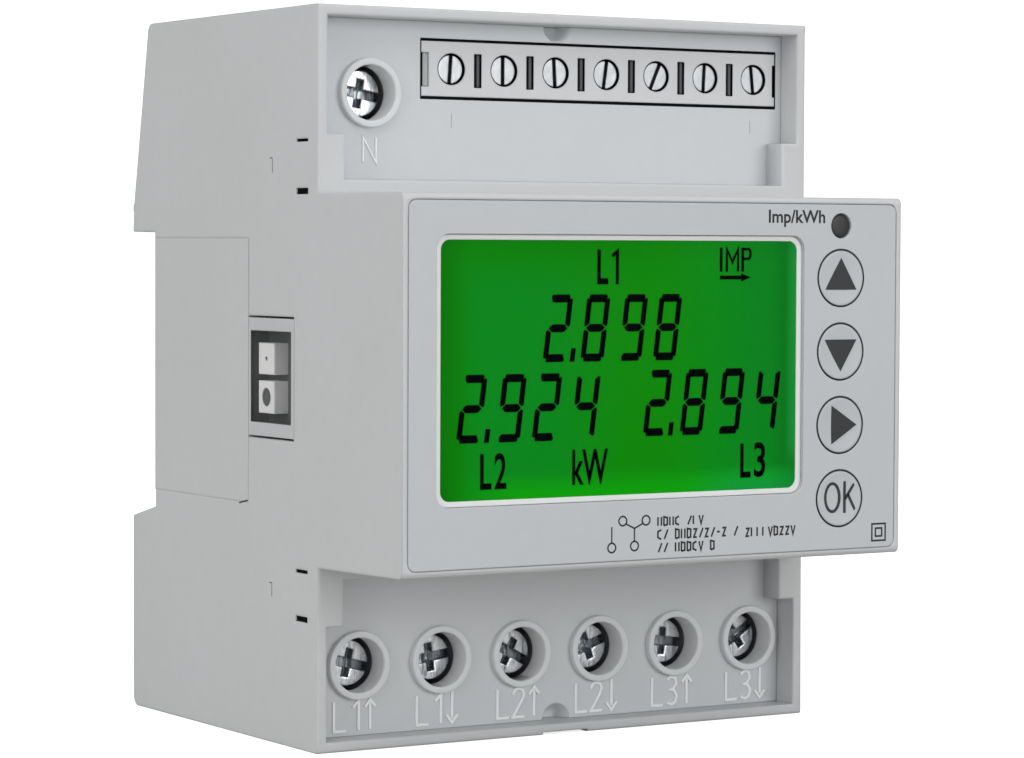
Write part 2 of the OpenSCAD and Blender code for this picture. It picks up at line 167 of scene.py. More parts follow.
def plastic(name, col, vary=0.04, tint=(0, 0, 0), rough=(0.38, 0.5), grain=0.12, edge_highlight=0.12,
            soft=0.00022, ior=1.46, spec=0.45, grain_scale=5200):
    """Satin moulded plastic: cloudy tone, fine spark-eroded grain, edges lightened as a painted highlight."""
    m, nt, bsdf = material(name)
    v = coords(nt)
    big = noise(nt, v, 42, 3)
    mid = noise(nt, v, 420, 4, 0.6)
    fine = noise(nt, v, grain_scale, 2, 0.6)
    dark = tuple(max(0, c * (1 - vary) + t) for c, t in zip(col, tint))
    light = tuple(min(1, c * (1 + vary)) for c in col)
    c0 = mix(nt, remap(nt, big, 0.3, 0.7, 0, 1), dark, light)
    c1 = mix(nt, remap(nt, mid, 0.35, 0.75, 0, 0.25), c0, tuple(c * 0.93 for c in col))
    edge, soft_n = edge_mask(nt, soft * 1.6)
    # painted highlight: convex and concave edges are lightened in the colour
    edge_lit = tuple(min(1, c * (1 + edge_highlight) + 0.03 * edge_highlight) for c in col)
    c2 = mix(nt, math_node(nt, "MULTIPLY", edge, remap(nt, mid, 0.2, 0.8, 0.5, 1.0)), c1, edge_lit)
    nt.links.new(c2, bsdf.inputs["Base Color"])
    r = remap(nt, math_node(nt, "ADD", big, math_node(nt, "MULTIPLY", mid, 0.5)), 0.5, 1.0, rough[0], rough[1])
    nt.links.new(r, bsdf.inputs["Roughness"])
    bsdf.inputs["IOR"].default_value = ior
    bsdf.inputs["Specular IOR Level"].default_value = spec
    bump(nt, bsdf, [(fine, grain, 0.00003), (mid, 0.05, 0.0001)], soft_n)
    return m


def metal(name, col, rough=(0.2, 0.42), stretch=(1, 1, 1), scale=2600, dark=0.55, grime=0.5, strength=0.18, soft=0.00012):
    """Plated metal: drawn grain, plating darker in random blotches, and a painted highlight on the edges."""
    m, nt, bsdf = material(name)
    v = coords(nt, stretch)
    grain = noise(nt, v, scale, 3, 0.6)
    blot = noise(nt, coords(nt), 700, 4, 0.65)
    c0 = mix(nt, remap(nt, blot, 0.42, 0.75, 0, grime), col, tuple(c * dark for c in col))
    edge, soft_n = edge_mask(nt, soft * 1.6)
    # painted highlight: the edges are lightened in the colour
    c1 = mix(nt, math_node(nt, "MULTIPLY", edge, 0.7), c0, tuple(min(1, c * 1.25 + 0.05) for c in col))
    nt.links.new(c1, bsdf.inputs["Base Color"])
    bsdf.inputs["Metallic"].default_value = 1
    r = remap(nt, math_node(nt, "ADD", math_node(nt, "MULTIPLY", grain, 0.5), math_node(nt, "MULTIPLY", blot, 0.5)),
              0.3, 0.7, rough[0], rough[1])
    nt.links.new(r, bsdf.inputs["Roughness"])
    bump(nt, bsdf, [(grain, strength, 0.00002)], soft_n)
    return m


def board_material():
    m, nt, bsdf = material("circuit_board")
    v = coords(nt)
    br = nt.nodes.new("ShaderNodeTexBrick")
    br.inputs["Scale"].default_value = 260
    br.inputs["Color1"].default_value = (0.01, 0.09, 0.035, 1)
    br.inputs["Color2"].default_value = (0.012, 0.12, 0.045, 1)
    br.inputs["Mortar"].default_value = (0.03, 0.2, 0.08, 1)
    br.inputs["Mortar Size"].default_value = 0.05
    nt.links.new(v, br.inputs["Vector"])
    vo = nt.nodes.new("ShaderNodeTexVoronoi")
    vo.inputs["Scale"].default_value = 520
    nt.links.new(v, vo.inputs["Vector"])
    pads = remap(nt, vo.outputs["Distance"], 0.16, 0.19, 1, 0)
    c = mix(nt, pads, br.outputs["Color"], (0.6, 0.42, 0.16))
    nt.links.new(c, bsdf.inputs["Base Color"])
    nt.links.new(remap(nt, pads, 0, 1, 0.4, 0.28), bsdf.inputs["Roughness"])
    nt.links.new(remap(nt, pads, 0, 1, 0, 0.9), bsdf.inputs["Metallic"])
    bump(nt, bsdf, [(br.outputs["Fac"], 0.25, 0.00004), (pads, 0.3, 0.00004)])
    return m


def copper_material():
    m, nt, bsdf = material("bare_copper")
    v = coords(nt, (1, 0.15, 1))
    grain = noise(nt, v, 3200, 3)
    ox = noise(nt, coords(nt), 160, 5, 0.65)
    c = mix(nt, remap(nt, ox, 0.4, 0.7, 0, 1), (0.76, 0.36, 0.2), (0.42, 0.17, 0.09))
    nt.links.new(c, bsdf.inputs["Base Color"])
    bsdf.inputs["Metallic"].default_value = 1
    nt.links.new(remap(nt, ox, 0.3, 0.7, 0.22, 0.5), bsdf.inputs["Roughness"])
    bump(nt, bsdf, [(grain, 0.2, 0.00003)])
    return m


def winding_material(name, col, col2, pitch):
    """Wound or wrapped surface: fine turns with a varnished sheen."""
    m, nt, bsdf = material(name)
    v = coords(nt)
    w = nt.nodes.new("ShaderNodeTexWave")
    w.bands_direction = "Z"
    w.inputs["Scale"].default_value = pitch
    w.inputs["Distortion"].default_value = 1.2
    nt.links.new(v, w.inputs["Vector"])
    c = mix(nt, w.outputs["Fac"], col, col2)
    cl = noise(nt, v, 210, 3)
    c2 = mix(nt, remap(nt, cl, 0.4, 0.8, 0, 0.5), c, tuple(x * 0.7 for x in col))
    nt.links.new(c2, bsdf.inputs["Base Color"])
    nt.links.new(remap(nt, cl, 0.3, 0.7, 0.3, 0.5), bsdf.inputs["Roughness"])
    bump(nt, bsdf, [(w.outputs["Fac"], 0.4, 0.00006)])
    return m


def lcd_material():
    """Green edge-lit display cell: yellower in the middle, bluer to the sides, darker at the rim."""
    m, nt, bsdf = material("lcd_cell")
    tc = nt.nodes.new("ShaderNodeTexCoord")
    sp = nt.nodes.new("ShaderNodeSeparateXYZ")
    nt.links.new(tc.outputs["Object"], sp.inputs[0])
    x, z = sp.outputs["X"], sp.outputs["Z"]
    cx, cz = -0.0052, 0.0467
    n1 = noise(nt, coords(nt, (1, 1, 0.7)), 38, 2)
    dx = math_node(nt, "ABSOLUTE", math_node(nt, "SUBTRACT", x, cx + 0.0035))
    side = remap(nt, math_node(nt, "ADD", dx, math_node(nt, "MULTIPLY", n1, 0.007)), 0.006, 0.019, 0, 1)
    c = mix(nt, side, (0.0026, 0.236, 0.0004), (0.0006, 0.232, 0.0095))
    rim = remap(nt, math_node(nt, "SUBTRACT", x, math_node(nt, "MULTIPLY", n1, 0.002)), -0.0292, -0.0262, 1, 0)
    top = math_node(nt, "MULTIPLY", remap(nt, z, 0.0555, 0.0605, 0, 1), remap(nt, x, 0.004, -0.004, 0, 1))
    c = mix(nt, math_node(nt, "MAXIMUM", rim, top), c, (0.0012, 0.222, 0.0004))
    right = remap(nt, x, 0.008, 0.02, 0, 0.8)
    c = mix(nt, right, c, (0.001, 0.19, 0.012))
    glow = math_node(nt, "MULTIPLY", remap(nt, x, 0.0186, 0.0198, 0, 1), remap(nt, z, 0.0335, 0.037, 0, 0.9))
    c = mix(nt, glow, c, (0.011, 0.34, 0.045))
    low = remap(nt, z, 0.0345, 0.0322, 0, 1)
    c = mix(nt, math_node(nt, "MULTIPLY", low, remap(nt, x, -0.03, -0.02, 0, 1)), c, (0.0025, 0.36, 0.0012))
    corner = math_node(nt, "MULTIPLY", remap(nt, x, 0.004, 0.012, 0, 1), remap(nt, z, 0.0345, 0.0320, 0, 0.9))
    c = mix(nt, corner, c, (0.004, 0.32, 0.045))
    ex = remap(nt, math_node(nt, "ABSOLUTE", math_node(nt, "SUBTRACT", x, cx)), 0.0215, 0.0254, 1, 0.74)
    ez = remap(nt, math_node(nt, "ABSOLUTE", math_node(nt, "SUBTRACT", z, cz)), 0.0125, 0.0152, 1, 0.9)
    em = mix(nt, 1.0, c, c, "MIX")
    vm = nt.nodes.new("ShaderNodeVectorMath")
    vm.operation = "SCALE"
    nt.links.new(em, vm.inputs[0])
    nt.links.new(math_node(nt, "MULTIPLY", ex, ez), vm.inputs["Scale"])
    nt.links.new(vm.outputs[0], bsdf.inputs["Emission Color"])
    bsdf.inputs["Emission Strength"].default_value = 1.0
    nt.links.new(mix(nt, n1, (0.0004, 0.004, 0.0006), (0.0008, 0.006, 0.001)), bsdf.inputs["Base Color"])
    nt.links.new(remap(nt, n1, 0.3, 0.7, 0.3, 0.4), bsdf.inputs["Roughness"])
    bsdf.inputs["Specular IOR Level"].default_value = 0.03
    return m


def clear_material(name, tint, alpha, rough=0.06, spec=0.5):
    m, nt, bsdf = material(name)
    v = coords(nt)
    n1 = noise(nt, v, 300, 3)
    nt.links.new(mix(nt, n1, tint, tuple(c * 0.8 for c in tint)), bsdf.inputs["Base Color"])
    nt.links.new(remap(nt, n1, 0.3, 0.7, rough, rough * 1.8), bsdf.inputs["Roughness"])
    bsdf.inputs["Alpha"].default_value = alpha
    bsdf.inputs["Specular IOR Level"].default_value = spec
    bump(nt, bsdf, [(n1, 0.02, 0.00005)])
    return m


def streaked(name, pale, dark):
    """Plated head polished along one way; its bright and dark streaks in the colour are painted reflection, and its
    edges carry a painted highlight.
    """
    m, nt, bsdf = material(name)
    run = noise(nt, coords(nt, (0.9, 1, 0.16)), 1900, 3, 0.6)
    blot = noise(nt, coords(nt), 620, 3, 0.6)
    # painted reflection: bright and dark streaks in the base colour
    c = mix(nt, remap(nt, run, 0.46, 0.66, 0, 1), pale, dark)
    c = mix(nt, remap(nt, blot, 0.5, 0.75, 0, 0.45), c, tuple(x * 0.5 for x in pale))
    edge, soft_n = edge_mask(nt, 0.00016)
    # painted highlight: the edges are lightened toward white
    c = mix(nt, math_node(nt, "MULTIPLY", edge, 0.8), c, (0.95, 0.96, 0.97))
    nt.links.new(c, bsdf.inputs["Base Color"])
    bsdf.inputs["Metallic"].default_value = 1
    nt.links.new(remap(nt, run, 0.3, 0.7, 0.16, 0.36), bsdf.inputs["Roughness"])
    bump(nt, bsdf, [(run, 0.3, 0.00003), (blot, 0.25, 0.00006)], soft_n)
    return m


HOUSE = (0.60, 0.612, 0.622)
M = {
    "housing": plastic("housing_plastic", HOUSE, 0.018, (0.004, 0.002, -0.002), grain=0.10, edge_highlight=0.2, soft=0.00035),
    "rear": plastic("rear_plastic", HOUSE, 0.018, (0.004, 0.002, -0.002), grain=0.10, edge_highlight=0.1, soft=0.0002),
    "terminal_block": plastic("terminal_plastic", (0.635, 0.655, 0.672), 0.02, (0.002, 0.0, -0.002), grain=0.12, edge_highlight=0.3, soft=0.0002),
    # painted highlight: a lighter copy of the terminal plastic for the collar rims
    "terminal_rim_highlight": plastic("collar_rim_highlight_plastic", (0.72, 0.742, 0.757), 0.015, (0.002, 0.0, -0.002), grain=0.08, edge_highlight=0.5, soft=0.0002),
    # painted highlight: a near-white copy of the terminal plastic for the walls of the screw wells
    "well_wall_highlight": plastic("screw_well_highlight_plastic", (0.88, 0.895, 0.905), 0.015, (0.002, 0.0, -0.002), grain=0.05, edge_highlight=0.2, soft=0.0002),
    "shade": plastic("shaded_gap", (0.004, 0.0045, 0.005), 0.2, (0, 0, 0), (0.6, 0.75), 0.05, 0.0, soft=0.0001, spec=0.04),
    # painted highlight: the raised marks are deck plastic, made lighter so they read as lit strokes
    "marks": plastic("raised_marks_highlight", (0.94, 0.95, 0.955), 0.02, (0.0, 0.0, 0.0), grain=0.06, edge_highlight=0.3, soft=0.0001),
    # painted shade: dark grey plastic that stands for shaded walls and hollows
    "slot_wall_shade": plastic("slot_shade_plastic", (0.10, 0.104, 0.108), 0.12, (0, 0, 0), (0.4, 0.55), 0.1, 0.3, soft=0.0001),
    # painted shade: a darker copy of the strip plastic for a half-shaded slot wall
    "slot_half_shade": plastic("end_slot_shade_plastic", (0.44, 0.46, 0.465), 0.05, (0, 0, 0), (0.4, 0.55), 0.1, 0.2, soft=0.0001),
    "overlay": plastic("overlay_film", (0.545, 0.565, 0.59), 0.015, (0.002, 0.001, 0), (0.34, 0.44), 0.06, 0.25, soft=0.0001, grain_scale=7500),
    "elastomer": plastic("key_film", (0.525, 0.55, 0.565), 0.03, (0.002, 0.001, 0), (0.3, 0.42), 0.05, 0.12, soft=0.0001),
    "strip": plastic("strip_plastic", (0.66, 0.672, 0.685), 0.02, (0.002, 0.001, 0), grain=0.1, edge_highlight=0.2, soft=0.00016),
    "latch": plastic("latch_plastic", (0.5, 0.505, 0.51), 0.03, (0.004, 0.002, -0.002), grain=0.16, edge_highlight=0.2),
    "port": plastic("port_plastic", (0.57, 0.58, 0.59), 0.02, (0, 0, 0), grain=0.1, edge_highlight=0.25, soft=0.00015),
    "port_dark": plastic("port_well_plastic", (0.085, 0.092, 0.094), 0.08, (0, 0, 0), grain=0.1, edge_highlight=0.4, soft=0.0001),
    "port_white": plastic("optic_carrier_plastic", (0.93, 0.935, 0.93), 0.03, (0, 0, 0), grain=0.08, edge_highlight=0.2, soft=0.00012),
    "holder": plastic("holder_plastic", (0.86, 0.87, 0.875), 0.01, (0, 0, 0), (0.3, 0.42), 0.05, 0.1, soft=0.00012),
    "backlight": plastic("backlight_guide", (0.5, 0.62, 0.42), 0.04, (0, 0, 0), (0.2, 0.3), 0.05, 0.1),
    "ink": plastic("black_print", (0.009, 0.01, 0.011), 0.15, (0, 0, 0), (0.4, 0.5), 0.04, 0.0, soft=0.00002),
    "key_ink": plastic("key_print", (0.022, 0.025, 0.028), 0.12, (0, 0, 0), (0.4, 0.5), 0.05, 0.0, soft=0.00002),
    "segment": plastic("lcd_segment", (0.0004, 0.0008, 0.0014), 0.4, (0, 0, 0), (0.5, 0.6), 0.02, 0.0, soft=0.00002, spec=0.02),
    "black": plastic("black_nylon", (0.02, 0.021, 0.023), 0.15, (0, 0, 0), (0.4, 0.55), 0.2, 0.5),
    "lamp": plastic("lamp_lens", (0.032, 0.033, 0.031), 0.12, (0, 0, 0), (0.28, 0.4), 0.05, 0.3, soft=0.0001, spec=0.35),
    "ribbon": winding_material("ribbon_cable", (0.6, 0.56, 0.45), (0.4, 0.37, 0.3), 420),
    "transformer": winding_material("transformer_tape", (0.62, 0.42, 0.06), (0.5, 0.31, 0.04), 900),
    "capacitor": winding_material("capacitor_sleeve", (0.03, 0.1, 0.28), (0.025, 0.08, 0.24), 60),
    "ct": winding_material("ct_winding", (0.66, 0.24, 0.05), (0.45, 0.14, 0.03), 1500),
    "screw": streaked("zinc_screw", (0.74, 0.76, 0.78), (0.17, 0.19, 0.215)),
    "screw_slot": streaked("shaded_slot_zinc", (0.36, 0.39, 0.42), (0.05, 0.06, 0.07)),
    "cage": metal("zinc_cage", (0.42, 0.43, 0.44), (0.3, 0.5), (1, 0.3, 1), 2400, 0.5, 0.6),
    "small_screw": metal("nickel_screw", (0.48, 0.495, 0.505), (0.34, 0.5), (1, 0.3, 0.25), 3400, 0.7, 0.35),
    "small_slot": metal("shaded_slot_nickel", (0.17, 0.18, 0.19), (0.35, 0.5), (1, 0.4, 0.3), 2400, 0.4, 0.7),
    "spring": metal("spring_steel", (0.5, 0.5, 0.5), (0.25, 0.4)),
    "copper": copper_material(),
    "pcb": board_material(),
    "lcd": lcd_material(),
    "window": clear_material("display_window_film", (0.01, 0.03, 0.01), 0.012, 0.08, 0.06),
    "port_clear": clear_material("port_window_clear", (0.3, 0.31, 0.31), 0.06, 0.08, 0.4),
}

# ---------------------------------------------------------------- mesh helpers


def finish_mesh(bm, name, mat, body="casing", replaces=(), smooth=32, scale=MM, weighted=True, also=()):
    """Mesh in millimetres becomes a piece that rides on a body."""
    bmesh.ops.recalc_face_normals(bm, faces=bm.faces)
    me = bpy.data.meshes.new(name)
    bm.to_mesh(me)
    bm.free()
    if scale != 1:
        me.transform(Matrix.Scale(scale, 4))
    for p in me.polygons:
        p.use_smooth = True
    me.set_sharp_from_angle(angle=math.radians(smooth))
    me.materials.append(mat)
    for extra_mat in also:
        me.materials.append(extra_mat)
    ob = bpy.data.objects.new(name, me)
    scene.collection.objects.link(ob)
    if weighted:
        w = ob.modifiers.new("normals", "WEIGHTED_NORMAL")
        w.keep_sharp = True
    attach(ob, body)
    if replaces:
        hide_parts(*replaces)
    return ob


def cleaned(mesh, scale=1000):
    """Welded, in millimetres, with the faces of one plane made one."""
    bm = bmesh.new()
    bm.from_mesh(mesh)
    bmesh.ops.scale(bm, vec=(scale,) * 3, verts=bm.verts)
    bmesh.ops.remove_doubles(bm, verts=bm.verts, dist=0.002)
    bmesh.ops.dissolve_limit(bm, angle_limit=math.radians(0.6), verts=bm.verts[:], edges=bm.edges[:])
    return bm


def welded(cads):
    """Butted CAD solids as one skin without their inner faces."""
    obs = []
    for c in cads:
        bm = bmesh.new()
        bm.from_mesh(nodes[c].data)
        bmesh.ops.scale(bm, vec=(1000, 1000, 1000), verts=bm.verts)
        bmesh.ops.remove_doubles(bm, verts=bm.verts, dist=0.002)
        me = bpy.data.meshes.new("part_" + c)
        bm.to_mesh(me)
        bm.free()
        ob = bpy.data.objects.new("part_" + c, me)
        scene.collection.objects.link(ob)
        obs.append(ob)
    for other in obs[1:]:
        b = obs[0].modifiers.new("weld", "BOOLEAN")
        b.operation = "UNION"
        b.solver = "EXACT"
        b.object = other
    bpy.context.view_layer.update()
    dg = bpy.context.evaluated_depsgraph_get()
    me = bpy.data.meshes.new_from_object(obs[0].evaluated_get(dg))
    bm = cleaned(me, 1)
    for ob in obs:
        bpy.data.objects.remove(ob)
    return bm


def skin(cad, name, mat, body="casing", width=0.2, segs=2, angle=40, test=None, shown=(), extra=None,
         also=(), second=None):
    """A CAD solid's own faces, cleaned and with its sharp moulded edges rounded."""
    bm = welded((cad, *shown)) if shown else cleaned(nodes[cad].data)
    if width:
        pick = []
        for e in bm.edges:
            if len(e.link_faces) != 2 or e.calc_face_angle(0) < math.radians(angle) or not e.is_convex:
                continue
            a, b = e.verts[0].co, e.verts[1].co
            if test is None or test((a + b) / 2, a, b):
                pick.append(e)
        if pick:
            bmesh.ops.bevel(bm, geom=pick, offset=width, offset_type="OFFSET", segments=segs,
                            profile=0.5, affect="EDGES", clamp_overlap=False)
    if extra:
        extra(bm)
    if second:
        for face in bm.faces:
            face.material_index = int(second(face.calc_center_median(), face.normal))
    return finish_mesh(bm, name, mat, body, (cad, *shown), smooth=30, weighted=bool(width), also=also)


def prism(bm, pts, y0, y1):
    """Polygon in the XZ plane between two depths."""
    a = [bm.verts.new((x, y0, z)) for x, z in pts]
    b = [bm.verts.new((x, y1, z)) for x, z in pts]
    bm.faces.new(a)
    bm.faces.new(b[::-1])
    n = len(pts)
    for i in range(n):
        bm.faces.new((a[i], b[i], b[(i + 1) % n], a[(i + 1) % n]))


def stroke(bm, pts, w, y0, y1, closed=False):
    """Mitred outline of a polyline in XZ, as a thin raised or printed line."""
    p = [Vector(q) for q in pts]
    n = len(p)
    left, right = [], []
    for i in range(n):
        prev = p[i - 1] if (closed or i > 0) else None
        nxt = p[(i + 1) % n] if (closed or i < n - 1) else None
        d0 = (p[i] - prev).normalized() if prev is not None else (nxt - p[i]).normalized()
        d1 = (nxt - p[i]).normalized() if nxt is not None else d0
        t = (d0 + d1)
        t = t.normalized() if t.length > 1e-6 else d0
        nn = Vector((-t.y, t.x))
        k = w / 2 / max(0.35, abs(nn.dot(Vector((-d0.y, d0.x)))))
        left.append(p[i] + nn * k)
        right.append(p[i] - nn * k)
    fl = [bm.verts.new((q.x, y0, q.y)) for q in left]
    fr = [bm.verts.new((q.x, y0, q.y)) for q in right]
    bl = [bm.verts.new((q.x, y1, q.y)) for q in left]
    br = [bm.verts.new((q.x, y1, q.y)) for q in right]
    m = n if closed else n - 1
    for i in range(m):
        j = (i + 1) % n
        bm.faces.new((fl[i], fl[j], fr[j], fr[i]))
        bm.faces.new((bl[i], br[i], br[j], bl[j]))
        bm.faces.new((fl[i], bl[i], bl[j], fl[j]))
        bm.faces.new((fr[i], fr[j], br[j], br[i]))
    if not closed:
        bm.faces.new((fl[0], fr[0], br[0], bl[0]))
        bm.faces.new((fl[-1], bl[-1], br[-1], fr[-1]))


def ring_prism(bm, outer, inner, y0, y1):
    """Rectangular frame between two depths; outer and inner are x0, x1, z0, z1."""
    def loop(q, y):
        x0, x1, z0, z1 = q
        return [bm.verts.new((x, y, z)) for x, z in ((x0, z0), (x1, z0), (x1, z1), (x0, z1))]
    o0, i0, o1, i1 = loop(outer, y0), loop(inner, y0), loop(outer, y1), loop(inner, y1)
    for k in range(4):
        j = (k + 1) % 4
        bm.faces.new((o0[k], o0[j], i0[j], i0[k]))
        bm.faces.new((i0[k], i0[j], i1[j], i1[k]))
        bm.faces.new((o1[j], o1[k], i1[k], i1[j]))
        bm.faces.new((o0[j], o0[k], o1[k], o1[j]))


def liner(bm, x0, x1, z0, z1, t, y0, y1):
    """Thin open tray that lines a slot."""
    def loop(d, y):
        return [bm.verts.new((x, y, z)) for x, z in ((x0 + d, z0 + d), (x1 - d, z0 + d), (x1 - d, z1 - d), (x0 + d, z1 - d))]
    o0, i0, i1, o1 = loop(0, y0), loop(t, y0), loop(t, y1 - t), loop(0, y1)
    for k in range(4):
        j = (k + 1) % 4
        bm.faces.new((o0[k], o0[j], i0[j], i0[k]))
        bm.faces.new((i0[k], i0[j], i1[j], i1[k]))
        bm.faces.new((o0[j], o0[k], o1[k], o1[j]))
    bm.faces.new(i1)
    bm.faces.new(o1[::-1])


def circle(cx, cz, r, n=24, a0=0.0):
    return [(cx + r * math.cos(a0 + 2 * math.pi * i / n), cz + r * math.sin(a0 + 2 * math.pi * i / n)) for i in range(n)]


def letters(bm, text, x0, x1, z0, z1, y0, y1, heavy=0.0):
    """Sans letters fitted to a box in XZ, as thin solids."""
    cu = bpy.data.curves.new("letters", "FONT")
    cu.body = text
    cu.resolution_u = 5
    cu.offset = heavy
    ob = bpy.data.objects.new("letters", cu)
    scene.collection.objects.link(ob)
    bpy.context.view_layer.update()
    me = bpy.data.meshes.new_from_object(ob.evaluated_get(bpy.context.evaluated_depsgraph_get()))
    bpy.data.objects.remove(ob)
    tm = bmesh.new()
    tm.from_mesh(me)
    bmesh.ops.remove_doubles(tm, verts=tm.verts, dist=1e-5)
    xs = [v.co.x for v in tm.verts]
    zs = [v.co.y for v in tm.verts]
    ax, bx = min(xs), max(xs)
    az, bz = min(zs), max(zs)
    front, back = {}, {}
    for v in tm.verts:
        x = x0 + (v.co.x - ax) / (bx - ax) * (x1 - x0)
        z = z0 + (v.co.y - az) / (bz - az) * (z1 - z0)
        front[v.index] = bm.verts.new((x, y0, z))
        back[v.index] = bm.verts.new((x, y1, z))
    for f in tm.faces:
        bm.faces.new([front[v.index] for v in f.verts])
        bm.faces.new([back[v.index] for v in reversed(f.verts)])
    for e in tm.edges:
        if len(e.link_faces) == 1:
            a, b = e.verts[0].index, e.verts[1].index
            bm.faces.new((front[a], front[b], back[b], back[a]))
    tm.free()


def revolve(bm, prof, cx, cz, n=64, closed=False):
    """Profile of (radius, y) turned about an axis along Y."""
    rings = []
    for r, y in prof:
        if r < 1e-6:
            rings.append([bm.verts.new((cx, y, cz))])
        else:
            rings.append([bm.verts.new((cx + r * math.cos(2 * math.pi * i / n), y, cz + r * math.sin(2 * math.pi * i / n)))
                          for i in range(n)])
    pairs = list(zip(rings, rings[1:])) + ([(rings[-1], rings[0])] if closed else [])
    for a, b in pairs:
        for i in range(n):
            j = (i + 1) % n
            if len(a) == 1 and len(b) == 1:
                continue
            if len(a) == 1:
                bm.faces.new((a[0], b[i], b[j]))
            elif len(b) == 1:
                bm.faces.new((a[i], b[0], a[j]))
            else:
                bm.faces.new((a[i], b[i], b[j], a[j]))


# ---------------------------------------------------------------- places, from the parts in model.glb


def span(name):
    lo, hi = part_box(name)
    return lo * 1000, hi * 1000


ov_lo, ov_hi = span("front_overlay")
Y_FRONT = ov_lo.y
KEYS = [("button_up", "key_up"), ("button_down", "key_down"), ("button_right", "key_right"), ("button_ok", "key_ok")]
KEY_C = {}
for nd, body in KEYS:
    lo, hi = span(nd)
    KEY_C[nd] = ((lo.x + hi.x) / 2, (lo.z + hi.z) / 2)
lo, hi = span("pulse_led")
LAMP = ((lo.x + hi.x) / 2, (lo.z + hi.z) / 2)
lo, hi = span("lower_terminal_block")
DECK_Y = span("signal_strip")[0].y
SCREWS = {}
for n in ("l1_in", "l1_out", "l2_in", "l2_out", "l3_in", "l3_out", "n"):
    lo, hi = span("screw_" + n)
    SCREWS[n] = ((lo.x + hi.x) / 2, (lo.z + hi.z) / 2)

# ---------------------------------------------------------------- case


def long_edge(mid, a, b):
    """Outer moulded edges of the case, away from the small slits."""
    if (a - b).length < 0.9:
        return False
    inner = abs(mid.x) < 34.4 and -15.0 < mid.y < 35.0 and 1.2 < mid.z < 88.8
    slit = abs(mid.x) > 34.9 and -13.1 < mid.y < -9.8 and (15.2 < mid.z < 22.2 or 67.0 < mid.z < 74.2)
    port = mid.x < -34.6 and -9.6 < mid.y < 2.8 and 37.2 < mid.z < 52.6
    notch = abs(mid.x) > 34.0 and mid.y > 2.5 and 29.0 < mid.z < 62.1
    return not (inner or slit or port or notch)


def split_inner(bm):
    """The wide inner faces of the side walls are cut into simple pieces round the rail channel."""
    for co, no in (((0, 29.1, 0), (0, 1, 0)), ((0, 0, 62.4), (0, 0, 1)), ((0, 0, 27.5), (0, 0, 1))):
        faces = [f for f in bm.faces if abs(abs(f.calc_center_median().x) - 34.7) < 0.05 and abs(f.normal.x) > 0.9]
        edges = list({e for f in faces for e in f.edges})
        verts = list({v for f in faces for v in f.verts})
        bmesh.ops.bisect_plane(bm, geom=verts + edges + faces, dist=0.0005, plane_co=co, plane_no=no)


skin("side_walls", "case_shell", M["housing"], width=0.22, segs=3, angle=50, test=long_edge,
     shown=("front_housing", "end_walls"),
     extra=split_inner)


def close_cheeks(bm):
    """The cheeks meet the case above and below, with only a hairline at their front edge."""
    for v in bm.verts:
        if abs(v.co.x) > 33.4 and v.co.y > 2.6:
            if abs(v.co.z - 61.88) < 0.02:
                v.co.z = 62.0
            elif abs(v.co.z - 29.32) < 0.02:
                v.co.z = 29.2
            if abs(v.co.y - 2.72) < 0.02:
                v.co.y = 2.665
    # this part is all flat faces: the wide concave ones are split, so that each stays flat
    bmesh.ops.triangulate(bm, faces=[f for f in bm.faces if len(f.verts) > 4], quad_method="BEAUTY",
                          ngon_method="BEAUTY")


skin("rear_cover", "case_rear", M["rear"], width=0, extra=close_cheeks)


def rim_edge(mid, a, b):
    return mid.y < -12.3


def emboss_lower(bm):
    top = DECK_Y - 0.16
    root = DECK_Y + 0.05
    w = 0.36
    k = 0.92
    digits = {"1": [[(0.35, 3.05), (1.2, 3.9), (1.2, 0)]],
              "2": [[(0, 3.1), (0.3, 3.75), (0.85, 3.95), (1.45, 3.7), (1.65, 3.1), (1.4, 2.4), (0, 0), (1.75, 0)]],
              "3": [[(0.05, 3.5), (0.7, 3.95), (1.4, 3.7), (1.5, 2.9), (1.1, 2.25), (0.6, 2.1), (1.2, 1.95), (1.6, 1.2),
                     (1.4, 0.35), (0.8, 0), (0.05, 0.3)]]}
    for i, key in enumerate(("l1_in", "l1_out", "l2_in", "l2_out", "l3_in", "l3_out")):
        x0 = SCREWS[key][0] - 3.3
        z0 = 2.0
        stroke(bm, [(x0, z0 + 3.95 * k), (x0, z0), (x0 + 1.7, z0)], w, top, root)
        for line in digits["123"[i // 2]]:
            stroke(bm, [(x0 + 2.25 + px, z0 + pz * k) for px, pz in line], w, top, root)
        ax = x0 + (5.05 if i < 2 else 5.4)
        if i % 2 == 0:
            stroke(bm, [(ax, z0), (ax, z0 + 3.6 * k)], w, top, root)
            stroke(bm, [(ax - 0.75, z0 + 3.0 * k), (ax, z0 + 4.0 * k), (ax + 0.75, z0 + 3.0 * k)], w, top - 0.01, root)
        else:
            stroke(bm, [(ax, z0 + 4.3 * k), (ax, z0 + 0.5)], w, top, root)
            stroke(bm, [(ax - 0.8, z0 + 1.0), (ax, z0), (ax + 0.8, z0 + 1.0)], w, top - 0.01, root)


def emboss_upper(bm):
    top = DECK_Y - 0.14
    root = DECK_Y + 0.05
    stroke(bm, [(-28.0, 71.2), (-28.0, 74.25), (-26.2, 71.25), (-26.2, 74.3)], 0.26, top, root)


def deck_part(c, n):
    """0 deck, 1 collar rims in a lighter copy as a painted highlight, 2 walls of the screw wells in a still lighter
    copy as a painted highlight.
    """
    if any(math.hypot(c.x - x, c.z - z) < 3.5 for x, z in SCREWS.values()) and abs(n.y) < 0.5 and c.y < DECK_Y + 5:
        return 2
    return 1 if c.y < DECK_Y - 0.3 else 0


